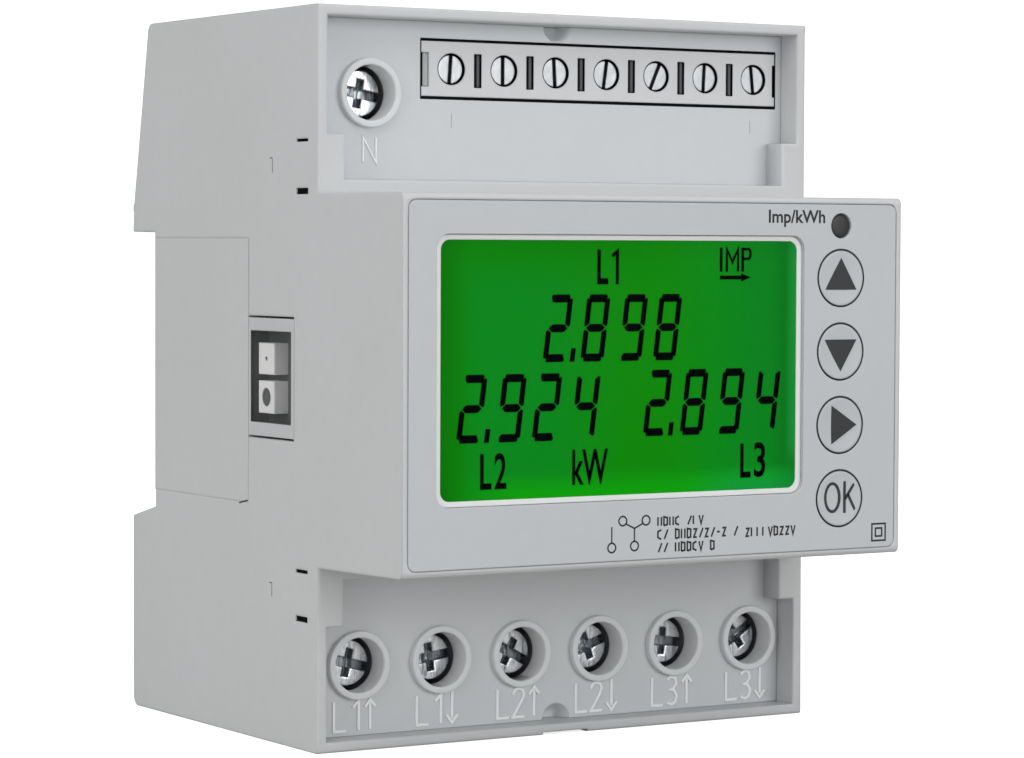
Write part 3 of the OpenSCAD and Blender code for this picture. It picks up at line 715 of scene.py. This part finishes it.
for cad, nm in (("lower_terminal_block", "terminal_deck_lower"), ("upper_terminal_block", "terminal_deck_upper")):
    skin(cad, nm, M["terminal_block"], width=0.18, segs=3, angle=50, test=rim_edge,
         also=(M["terminal_rim_highlight"], M["well_wall_highlight"]), second=deck_part)
# painted highlight: the raised marks get the lightened plastic
for nm, fn in (("deck_marks_lower", emboss_lower), ("deck_marks_upper", emboss_upper)):
    bm = bmesh.new()
    fn(bm)
    finish_mesh(bm, nm, M["marks"], weighted=False)
bm = bmesh.new()
for x, z in ((-15.5, 75.7), (29.7, 75.9)):
    stroke(bm, [(x, z), (x, z + 1.7)], 0.12, DECK_Y - 0.006, DECK_Y + 0.05)
finish_mesh(bm, "deck_mould_ticks", M["latch"], weighted=False)

# thin moulding marks on the left wall: polylines in YZ, their width, drawn as shallow dark lines
bm = bmesh.new()
marks = [([(-3.7, z0), (-3.7, z1), (-3.0, z1)], 0.06) for z0, z1 in ((18.0, 19.7), (70.0, 71.8))]
marks.append(([(2.75, 29.42), (5.1, 28.98)], 0.1))
for pts, half in marks:
    for (ya, za), (yb, zb) in zip(pts, pts[1:]):
        ln = math.hypot(yb - ya, zb - za)
        ny, nz = -(zb - za) / ln * half, (yb - ya) / ln * half
        q = [(ya + ny, za + nz), (yb + ny, zb + nz), (yb - ny, zb - nz), (ya - ny, za - nz)]
        a = [bm.verts.new((-36.003, y, z)) for y, z in q]
        b = [bm.verts.new((-35.8, y, z)) for y, z in q]
        bm.faces.new(a)
        bm.faces.new(b[::-1])
        for k in range(4):
            bm.faces.new((a[k], b[k], b[(k + 1) % 4], a[(k + 1) % 4]))
finish_mesh(bm, "wall_witness_marks", M["black"], weighted=False)

# shaded ends of the latch slits in both sides
bm = bmesh.new()
for sg in (-1, 1):
    for za, zb in ((73.62, 73.98), (67.3, 68.05), (21.5, 21.95), (15.6, 16.3)):
        xa, xb = sorted((sg * 35.86, sg * 35.02))
        corners = [bm.verts.new((x, y, z)) for x in (xa, xb) for y in (-12.94, -9.96) for z in (za + 0.01, zb - 0.01)]
        for q in ((0, 1, 3, 2), (4, 6, 7, 5), (0, 4, 5, 1), (2, 3, 7, 6), (0, 2, 6, 4), (1, 5, 7, 3)):
            bm.faces.new([corners[i] for i in q])
bmesh.ops.bevel(bm, geom=bm.edges[:], offset=0.03, segments=1, affect="EDGES", clamp_overlap=True)
finish_mesh(bm, "latch_slit_linings", M["shade"], weighted=False)

# ---------------------------------------------------------------- signal strip


def strip_edge(mid, a, b):
    return mid.y < -11.9 and (a - b).length > 0.25


skin("signal_strip", "signal_strip_body", M["strip"], width=0.12, segs=2, angle=50, test=strip_edge)
# painted shade: near-black trays in the slots between the screws, and a near-black block in the end slot
bm = bmesh.new()
s_lo, s_hi = span("signal_strip")
sx = []
for j in range(1, 8):
    lo, hi = span(f"signal_screw_{j}")
    sx.append(((lo.x + hi.x) / 2, (lo.z + hi.z) / 2))
for a, b in zip(sx, sx[1:]):
    m = (a[0] + b[0]) / 2
    liner(bm, m - 0.52, m + 0.52, 80.71, 84.84, 0.05, DECK_Y + 0.06, DECK_Y + 2.38)
prism(bm, [(-19.82, 80.74), (-19.5, 80.74), (-19.5, 84.81), (-19.82, 84.81)], DECK_Y + 0.3, DECK_Y + 2.3)
finish_mesh(bm, "strip_slot_shade", M["shade"], weighted=False)
# painted shade: a dark grey block along the right wall of each slot, for the wall in shade
bm = bmesh.new()
for a, b in zip(sx, sx[1:]):
    m = (a[0] + b[0]) / 2
    prism(bm, [(m - 0.02, 80.77), (m + 0.465, 80.77), (m + 0.465, 84.78), (m - 0.02, 84.78)], DECK_Y + 0.35, DECK_Y + 2.3)
bmesh.ops.bevel(bm, geom=bm.edges[:], offset=0.05, segments=2, affect="EDGES", clamp_overlap=True)
finish_mesh(bm, "strip_slot_side_shade", M["slot_wall_shade"], weighted=False)
# painted shade: a mid-grey block in the end slot for its half-shaded wall
bm = bmesh.new()
prism(bm, [(-19.49, 80.74), (-18.72, 80.74), (-18.72, 84.81), (-19.49, 84.81)], DECK_Y + 0.3, DECK_Y + 2.3)
bmesh.ops.bevel(bm, geom=bm.edges[:], offset=0.05, segments=1, affect="EDGES", clamp_overlap=True)
finish_mesh(bm, "end_slot_shade", M["slot_half_shade"], weighted=False)
# painted shade: a near-black frame laid in the shadow gap round the strip in its opening
bm = bmesh.new()
ring_prism(bm, (-19.97, 33.72, 79.13, 86.62), (-19.83, 33.58, 79.5, 86.29), DECK_Y - 0.012, DECK_Y + 1.2)
finish_mesh(bm, "strip_gap_shade", M["shade"], weighted=False)
# shaded walls of the screw bores
bm = bmesh.new()
for cx, cz in sx:
    revolve(bm, [(1.945, DECK_Y + 0.07), (1.945, DECK_Y + 1.85), (1.83, DECK_Y + 1.85), (1.86, DECK_Y + 0.07)], cx, cz, 48, True)
finish_mesh(bm, "strip_bore_linings", M["shade"], smooth=50)

for j in range(1, 8):
    cx, cz = sx[j - 1]
    skin(f"signal_screw_{j}", f"small_screw_{j}", M["small_screw"], body=f"signal_screw_{j}",
         width=0.07, segs=2, angle=50, test=lambda mid, a, b: mid.y < -11.6, also=(M["small_slot"],),
         second=lambda c, n: c.y > DECK_Y + 0.36 + 0.1 and math.hypot(c.x - cx, c.z - cz) < 1.72 and c.y < DECK_Y + 1.2)

# ---------------------------------------------------------------- main screws: domed, knurled-edge heads with a combined slot
for key in SCREWS:
    cx, cz = SCREWS[key]
    skin("screw_" + key, "main_screw_" + key, M["screw"], body="screw_" + key, width=0.16, segs=3, angle=50,
         test=lambda mid, a, b: mid.y < -9.3, also=(M["screw_slot"],),
         second=lambda c, n: c.y > DECK_Y + 2.5 + 0.2 and math.hypot(c.x - cx, c.z - cz) < 2.75 and c.y < DECK_Y + 4.2)

# ---------------------------------------------------------------- front overlay with its print


def overlay_edge(mid, a, b):
    return mid.y < Y_FRONT + 0.05 and (a - b).length > 0.02


skin("front_overlay", "overlay_panel", M["overlay"], width=0.06, segs=2, angle=50, test=overlay_edge)

bm = bmesh.new()
# the print is let into the film: its face is level with it
P0, P1 = Y_FRONT - 0.004, Y_FRONT + 0.03
letters(bm, "Imp/kWh", 15.55, 24.15, 63.62, 65.75, P0, P1, 0.022)
for cx, cz in ((-5.62, 28.39), (-2.28, 28.36), (-3.93, 25.34), (-7.18, 25.24)):
    stroke(bm, circle(cx, cz, 0.56, 28), 0.21, P0, P1, True)
stroke(bm, [(-3.95, 25.9), (-3.95, 27.5)], 0.2, P0, P1)
stroke(bm, [(-5.2, 28.05), (-3.95, 27.45), (-2.7, 28.02)], 0.2, P0, P1)
stroke(bm, [(-7.19, 25.81), (-7.19, 27.75)], 0.19, P0, P1)
# double square of protective insulation
for h in (1.05, 0.5):
    cx, cz = 32.86, 25.5
    stroke(bm, [(cx - h, cz - h), (cx + h, cz - h), (cx + h, cz + h), (cx - h, cz + h)], 0.23, P0, P1, True)
# three lines of neutral small print
rng = random.Random(11)
PAT = [
    [[(0, 0), (0, 1)]], [[(0.1, 0), (0.7, 1)]], [[(0.6, 1), (0, 0.8), (0, 0.2), (0.6, 0)]],
    [[(0, 0), (0, 1), (0.6, 0.9), (0.6, 0.1), (0, 0)]], [[(0, 0.9), (0.6, 0.9), (0.1, 0.05), (0.65, 0.05)]],
    [[(0.1, 0.5), (0.6, 0.5)]], [[(0, 1), (0.35, 0), (0.7, 1)]], [[(0, 0), (0, 1)], [(0.6, 0), (0.6, 1)]],
]
for x0, x1, z, h in ((-0.55, 6.4, 27.62, 1.05), (-0.55, 11.3, 25.98, 1.15), (12.4, 20.6, 25.78, 1.1), (-0.55, 8.6, 24.42, 1.1)):
    x = x0
    while x < x1 - 0.5:
        if rng.random() > 0.12:
            for line in rng.choice(PAT):
                stroke(bm, [(x + px * 0.82, z + pz * h) for px, pz in line], 0.24, P0, P1)
        x += 0.86
finish_mesh(bm, "overlay_print", M["ink"], weighted=False)

# ---------------------------------------------------------------- keys: soft domed caps with printed ring and symbol
for nd, body in KEYS:
    lo, hi = span(nd)
    cx, cz = KEY_C[nd]
    r = 3.46
    yf = lo.y
    bm = bmesh.new()
    prof = [(0, yf + 0.10), (0.9, yf + 0.095), (1.8, yf + 0.075), (2.5, yf + 0.045), (3.0, yf + 0.012), (3.2, yf + 0.0),
            (3.36, yf + 0.01), (3.42, yf + 0.05), (r, yf + 0.16), (r, yf + 1.62), (4.08, yf + 1.62), (4.08, yf + 2.4),
            (0.9, yf + 2.4), (0.9, yf + 3.62), (0.82, yf + 3.7), (0, yf + 3.7)]
    revolve(bm, prof, cx, cz, 72)
    finish_mesh(bm, "cap_" + nd[7:], M["elastomer"], body=body, replaces=(nd,), smooth=50)
    bm = bmesh.new()
    # ring, let into the cap's rim
    revolve(bm, [(3.4, yf + 0.0), (3.55, yf + 0.0), (3.59, yf + 0.04), (3.59, yf + 0.6), (3.4, yf + 0.6)], cx, cz, 72, True)
    finish_mesh(bm, "ring_" + nd[7:], M["ink"], body=body, smooth=50)
    bm = bmesh.new()
    s0, s1 = yf + 0.02, yf + 0.12
    if nd == "button_up":
        prism(bm, [(cx - 2.4, cz - 1.45), (cx + 2.45, cz - 1.45), (cx + 0.05, cz + 2.5)], s0, s1)
    elif nd == "button_down":
        prism(bm, [(cx - 2.45, cz + 1.5), (cx + 0.05, cz - 2.45), (cx + 2.5, cz + 1.5)], s0, s1)
    elif nd == "button_right":
        prism(bm, [(cx - 1.3, cz - 2.4), (cx + 2.6, cz + 0.0), (cx - 1.3, cz + 2.45)], s0, s1)
    else:
        stroke(bm, [(cx - 1.05 + 1.1 * math.cos(a), cz + 0.12 + 1.75 * math.sin(a)) for a in
                    [2 * math.pi * i / 32 for i in range(32)]], 0.36, s0, s1, True)
        stroke(bm, [(cx + 0.85, cz - 1.85), (cx + 0.85, cz + 2.1)], 0.36, s0, s1)
        stroke(bm, [(cx + 2.55, cz + 2.1), (cx + 0.95, cz - 0.1)], 0.36, s0, s1)
        stroke(bm, [(cx + 1.35, cz + 0.5), (cx + 2.65, cz - 1.85)], 0.36, s0, s1)
    finish_mesh(bm, "symbol_" + nd[7:], M["key_ink"], body=body, weighted=False)

# lamp lens: shallow dome in a flanged body
lo, hi = span("pulse_led")
bm = bmesh.new()
cx, cz = LAMP
yf = lo.y
revolve(bm, [(0, yf + 0.1), (0.7, yf + 0.105), (1.15, yf + 0.13), (1.38, yf + 0.18), (1.48, yf + 0.28), (1.5, yf + 0.5), (1.5, yf + 4.12),
             (1.9, yf + 4.12), (1.9, hi.y), (0, hi.y)], cx, cz, 56)
finish_mesh(bm, "lamp_lens", M["lamp"], replaces=("pulse_led",), smooth=40)

# ---------------------------------------------------------------- display
SEG = {"0": "abcdef", "1": "bc", "2": "abged", "3": "abgcd", "4": "fgbc", "5": "afgcd", "6": "afgedc", "7": "abc", "8": "abcdefg", "9": "abcdfg"}
W7, H7, TH, TV, G = 3.28, 7.98, 0.96, 0.72, 0.16


def seven(bm, ch, x, z, y0, y1):
    def put(pts):
        prism(bm, [(x + px + pz * 0.128, z + pz) for px, pz in pts], y0, y1)
    mz = H7 / 2
    for s in SEG[ch]:
        if s == "a":
            put([(0.42, H7 - TH + 0.2), (0.62, H7 - TH), (W7 - 0.62, H7 - TH), (W7 - 0.36, H7 - 0.3), (W7 - 0.52, H7), (0.46, H7), (0.3, H7 - 0.2)])
        elif s == "d":
            put([(0.46, 0), (W7 - 0.5, 0), (W7 - 0.3, 0.25), (W7 - 0.6, TH), (0.62, TH), (0.36, 0.5)])
        elif s == "g":
            put([(TV + 0.0, mz + TH * 0.42), (0.32, mz), (TV, mz - TH * 0.42), (TV + 0.22, mz - TH / 2), (W7 - TV - 0.22, mz - TH / 2),
                 (W7 - TV, mz - TH * 0.42), (W7 - 0.32, mz), (W7 - TV, mz + TH * 0.42), (W7 - TV - 0.22, mz + TH / 2), (TV + 0.22, mz + TH / 2)])
        elif s in "fe":
            u = s == "f"
            za, zb = (mz + G, H7 - 0.42) if u else (0.42, mz - G)
            if u:
                put([(0, za + 0.22), (0.2, za), (TV, za + 0.34), (TV, zb - 0.34), (0.2, zb), (0, zb - 0.15)])
            else:
                put([(0, za + 0.15), (0.2, za), (TV, za + 0.34), (TV, zb - 0.34), (0.2, zb), (0, zb - 0.22)])
        elif s in "bc":
            u = s == "b"
            za, zb = (mz + G, H7 - 0.42) if u else (0.42, mz - G)
            put([(W7 - TV, za + 0.34), (W7 - 0.2, za), (W7, za + 0.2), (W7, zb - 0.15), (W7 - 0.2, zb), (W7 - TV, zb - 0.34)])


lg_lo, lg_hi = span("lcd_glass")
YS1 = lg_lo.y + 0.02
YS0 = lg_lo.y - 0.05
dxx = -0.4
bm = bmesh.new()
for ch, x in zip("2898", (-16.29, -11.02, -5.62, -0.66)):
    seven(bm, ch, x + dxx, 47.5, YS0, YS1)
for ch, x in zip("2924", (-28.11, -22.7, -17.77, -12.35)):
    seven(bm, ch, x + dxx, 38.22, YS0, YS1)
for ch, x in zip("2894", (-2.05, 3.30, 8.72, 14.1)):
    seven(bm, ch, x + dxx, 38.4, YS0, YS1)
for x, z in ((-12.5, 47.5), (-24.3, 38.22), (1.6, 38.4)):
    prism(bm, [(x + dxx, z), (x + dxx + 0.66, z), (x + dxx + 0.88, z + 1.62), (x + dxx + 0.22, z + 1.62)], YS0, YS1)
letters(bm, "L", -9.05, -7.5, 56.65, 60.8, YS0, YS1, 0.02)
stroke(bm, [(-6.95, 60.0), (-6.2, 60.55), (-6.2, 56.65)], 0.44, YS0, YS1)
stroke(bm, [(8.9, 58.15), (8.9, 61.08)], 0.38, YS0, YS1)
stroke(bm, [(9.75, 58.15), (9.75, 60.85), (10.58, 59.3), (11.41, 60.85), (11.41, 58.15)], 0.34, YS0, YS1)
stroke(bm, [(12.1, 58.15), (12.1, 61.08)], 0.38, YS0, YS1)
stroke(bm, [(12.2, 60.89), (13.05, 60.89), (13.25, 60.65), (13.25, 60.0), (13.05, 59.72), (12.2, 59.72)], 0.34, YS0, YS1)
prism(bm, [(8.75, 57.2), (11.9, 57.2), (11.9, 56.95), (13.35, 57.45), (11.9, 57.95), (11.9, 57.68), (8.75, 57.68)], YS0, YS1)
letters(bm, "L", -25.2, -23.65, 32.75, 36.95, YS0, YS1, 0.02)
letters(bm, "2", -23.25, -21.6, 32.75, 37.0, YS0, YS1, 0.015)
letters(bm, "kW", -12.45, -7.4, 32.85, 37.1, YS0, YS1, 0.015)
letters(bm, "L", 11.95, 13.5, 32.95, 37.15, YS0, YS1, 0.02)
letters(bm, "3", 14.0, 15.7, 32.95, 37.25, YS0, YS1, 0.015)
finish_mesh(bm, "lcd_symbols", M["segment"], weighted=False)

# ---------------------------------------------------------------- side port


def port_edge(mid, a, b):
    return mid.x < -35.9 and (a - b).length > 1


skin("port_insert", "side_port_frame", M["port"], width=0.1, segs=2, angle=50, test=port_edge)
# dark lining of the well
bm = bmesh.new()
x0, x1 = -35.97, -33.32
ya, yb, za, zb = -8.545, 2.045, 39.305, 50.595
t = 0.045
rim = [(ya, za), (yb, za), (yb, zb), (ya, zb)]
inn = [(ya + t, za + t), (yb - t, za + t), (yb - t, zb - t), (ya + t, zb - t)]
o0 = [bm.verts.new((x0, y, z)) for y, z in rim]
i0 = [bm.verts.new((x0, y, z)) for y, z in inn]
i1 = [bm.verts.new((x1 - 0.1, y, z)) for y, z in inn]
o1 = [bm.verts.new((x1, y, z)) for y, z in rim]
for k in range(4):
    j = (k + 1) % 4
    bm.faces.new((o0[k], o0[j], i0[j], i0[k]))
    bm.faces.new((i0[k], i0[j], i1[j], i1[k]))
    bm.faces.new((o0[j], o0[k], o1[k], o1[j]))
bm.faces.new(i1)
bm.faces.new(o1[::-1])
finish_mesh(bm, "side_port_lining", M["port_dark"], weighted=False)
# painted shade: dark cups laid in the round recess and in the pinhole of the two optic carriers
bm = bmesh.new()
for zc, rc in ((42.4, 1.12), (47.15, 0.27)):
    rings = [[bm.verts.new((x, -1 + rr * math.cos(2 * math.pi * i / 40), zc + rr * math.sin(2 * math.pi * i / 40)))
              for i in range(40)] for x, rr in ((-34.55, rc), (-35.3, rc), (-35.36, rc * 0.86), (-35.38, rc * 0.45))]
    for q, w in zip(rings, rings[1:]):
        for i in range(40):
            bm.faces.new((q[i], q[(i + 1) % 40], w[(i + 1) % 40], w[i]))
    bm.faces.new(rings[-1])
    bm.faces.new(rings[0][::-1])
finish_mesh(bm, "optic_recess_shade", M["slot_wall_shade"], smooth=50)
skin("port_optics", "side_port_optics", M["port_white"], width=0.12, segs=2, angle=50,
     test=lambda mid, a, b: mid.x < -35.3 and (a - b).length > 1)
nodes["port_window"].data.materials.clear()
nodes["port_window"].data.materials.append(M["port_clear"])

# ---------------------------------------------------------------- latch and its spring
skin("din_latch", "rail_latch", M["latch"], body="latch", width=0.2, segs=2, angle=50,
     test=lambda mid, a, b: (a - b).length > 1)
lo, hi = span("latch_spring")
bm = bmesh.new()
cx, cy = (lo.x + hi.x) / 2, (lo.y + hi.y) / 2
R, wr = (hi.x - lo.x) / 2 - 0.2, 0.2
turns, steps, ring_n = 7, 7 * 28, 8
prev = None
for i in range(steps + 1):
    t = i / steps
    a = 2 * math.pi * turns * t
    z = lo.z + wr + (hi.z - lo.z - 2 * wr) * (0.06 * min(1, t * 7) + 0.88 * min(1, max(0, (t - 0.09) / 0.82)) + 0.06 * min(1, max(0, (t - 0.86) * 7)))
    c = Vector((cx + R * math.cos(a), cy + R * math.sin(a), z))
    radial = Vector((math.cos(a), math.sin(a), 0))
    up = Vector((0, 0, 1))
    ring = [bm.verts.new(c + radial * wr * math.cos(b) + up * wr * math.sin(b)) for b in [2 * math.pi * k / ring_n for k in range(ring_n)]]
    if prev:
        for k in range(ring_n):
            bm.faces.new((prev[k], ring[k], ring[(k + 1) % ring_n], prev[(k + 1) % ring_n]))
    else:
        bm.faces.new(ring[::-1])
    prev = ring
bm.faces.new(prev)
coil = finish_mesh(bm, "latch_coil", M["spring"], replaces=("latch_spring",), smooth=60)
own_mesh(coil)

# ---------------------------------------------------------------- carried-over solids
CARRY = {
    "display_window": "window", "lcd_holder": "holder", "lcd_glass": "lcd", "lcd_backlight": "backlight",
    "display_board": "pcb", "tact_switches": "black", "ribbon_link": "ribbon",
    "main_board": "pcb", "signal_board": "pcb", "supply_transformer": "transformer", "supply_capacitors": "capacitor",
    "current_transformers": "ct", "busbars": "copper", "signal_contacts": "copper",
}
for n in nodes:
    if n.startswith("cage_") or n.startswith("signal_clamp"):
        CARRY[n] = "cage"
for n, key in CARRY.items():
    nodes[n].data.materials.clear()
    nodes[n].data.materials.append(M[key])

# ---------------------------------------------------------------- stage, light, camera
bm = bmesh.new()
L, back, rise, n = 3.0, 2.2, 0.8, 16
prof = [(-3.0, 0.0), (back - rise, 0.0)]
prof += [(back - rise + rise * math.sin(math.pi / 2 * i / n), rise - rise * math.cos(math.pi / 2 * i / n)) for i in range(1, n + 1)]
prof += [(back, 3.0)]
left = [bm.verts.new((-L, y, z)) for y, z in prof]
right = [bm.verts.new((L, y, z)) for y, z in prof]
for i in range(len(prof) - 1):
    bm.faces.new((left[i], right[i], right[i + 1], left[i + 1]))
me = bpy.data.meshes.new("studio_floor")
bm.to_mesh(me)
bm.free()
for p in me.polygons:
    p.use_smooth = True
fm, nt, bsdf = material("studio_paper")
v = coords(nt)
nt.links.new(mix(nt, noise(nt, v, 3, 3), (0.93, 0.93, 0.93), (0.95, 0.95, 0.95)), bsdf.inputs["Base Color"])
nt.links.new(remap(nt, noise(nt, v, 900, 2), 0, 1, 0.75, 0.9), bsdf.inputs["Roughness"])
bsdf.inputs["Specular IOR Level"].default_value = 0.1
glow = nt.nodes.new("ShaderNodeEmission")
glow.inputs["Strength"].default_value = 0.75
add = nt.nodes.new("ShaderNodeAddShader")
nt.links.new(bsdf.outputs[0], add.inputs[0])
nt.links.new(glow.outputs[0], add.inputs[1])
dull = nt.nodes.new("ShaderNodeBsdfDiffuse")
dull.inputs["Color"].default_value = (0.55, 0.54, 0.52, 1)
path = nt.nodes.new("ShaderNodeLightPath")
pick = nt.nodes.new("ShaderNodeMixShader")
nt.links.new(path.outputs["Is Camera Ray"], pick.inputs[0])
nt.links.new(dull.outputs[0], pick.inputs[1])
nt.links.new(add.outputs[0], pick.inputs[2])
nt.links.new(pick.outputs[0], [n for n in nt.nodes if n.type == "OUTPUT_MATERIAL"][0].inputs[0])
me.materials.append(fm)
floor = bpy.data.objects.new("studio_floor", me)
scene.collection.objects.link(floor)
floor.rotation_euler = (0, 0, math.radians(-31.7))

world = bpy.data.worlds.new("studio_sky")
scene.world = world
world.use_nodes = True
wn = world.node_tree
bg = wn.nodes["Background"]
bg.inputs["Color"].default_value = (0.985, 0.99, 1.0, 1)
bg.inputs["Strength"].default_value = 0.45
bright = wn.nodes.new("ShaderNodeBackground")
bright.inputs["Color"].default_value = (1, 1, 1, 1)
wpath = wn.nodes.new("ShaderNodeLightPath")
wmix = wn.nodes.new("ShaderNodeMixShader")
wn.links.new(wpath.outputs["Is Camera Ray"], wmix.inputs[0])
wn.links.new(bg.outputs[0], wmix.inputs[1])
wn.links.new(bright.outputs[0], wmix.inputs[2])
wn.links.new(wmix.outputs[0], wn.nodes["World Output"].inputs[0])


def area(name, loc, target, size, power, col=(1, 1, 1)):
    d = bpy.data.lights.new(name, "AREA")
    d.shape = "RECTANGLE"
    d.size, d.size_y = size
    d.energy = power
    d.color = col
    o = bpy.data.objects.new(name, d)
    scene.collection.objects.link(o)
    o.location = loc
    o.rotation_mode = "QUATERNION"
    o.rotation_quaternion = (Vector(target) - Vector(loc)).to_track_quat("-Z", "Y")
    return o


area("softbox_top", (-0.1, -0.35, 1.0), (0, 0, 0.045), (0.9, 0.9), 3.5)
area("softbox_front", (0.38, -1.12, 0.22), (0, 0, 0.045), (0.8, 0.7), 5.3, (0.985, 0.99, 1))
area("softbox_left", (-1.1, -0.25, 0.4), (0, 0, 0.045), (0.8, 0.8), 4.9)

cam_data = bpy.data.cameras.new("photo_view")
cam = bpy.data.objects.new("photo_view", cam_data)
scene.collection.objects.link(cam)
scene.camera = cam
yaw, pitch, roll = math.radians(31.692), math.radians(-2.2795), math.radians(0.2364)
f = Vector((math.sin(yaw) * math.cos(pitch), math.cos(yaw) * math.cos(pitch), math.sin(pitch)))
r0 = Vector((math.cos(yaw), -math.sin(yaw), 0))
u0 = r0.cross(f)
r = r0 * math.cos(roll) + u0 * math.sin(roll)
u = -r0 * math.sin(roll) + u0 * math.cos(roll)
cam.matrix_world = Matrix(((r.x, u.x, -f.x, -228.641 * MM), (r.y, u.y, -f.y, -371.686 * MM), (r.z, u.z, -f.z, 61.363 * MM), (0, 0, 0, 1)))
cam_data.sensor_width = 36
cam_data.lens = 3382.59 * 36 / 1024
cam_data.clip_start = 0.02
cam_data.clip_end = 20

scene.view_settings.view_transform = "Standard"
scene.view_settings.look = "None"
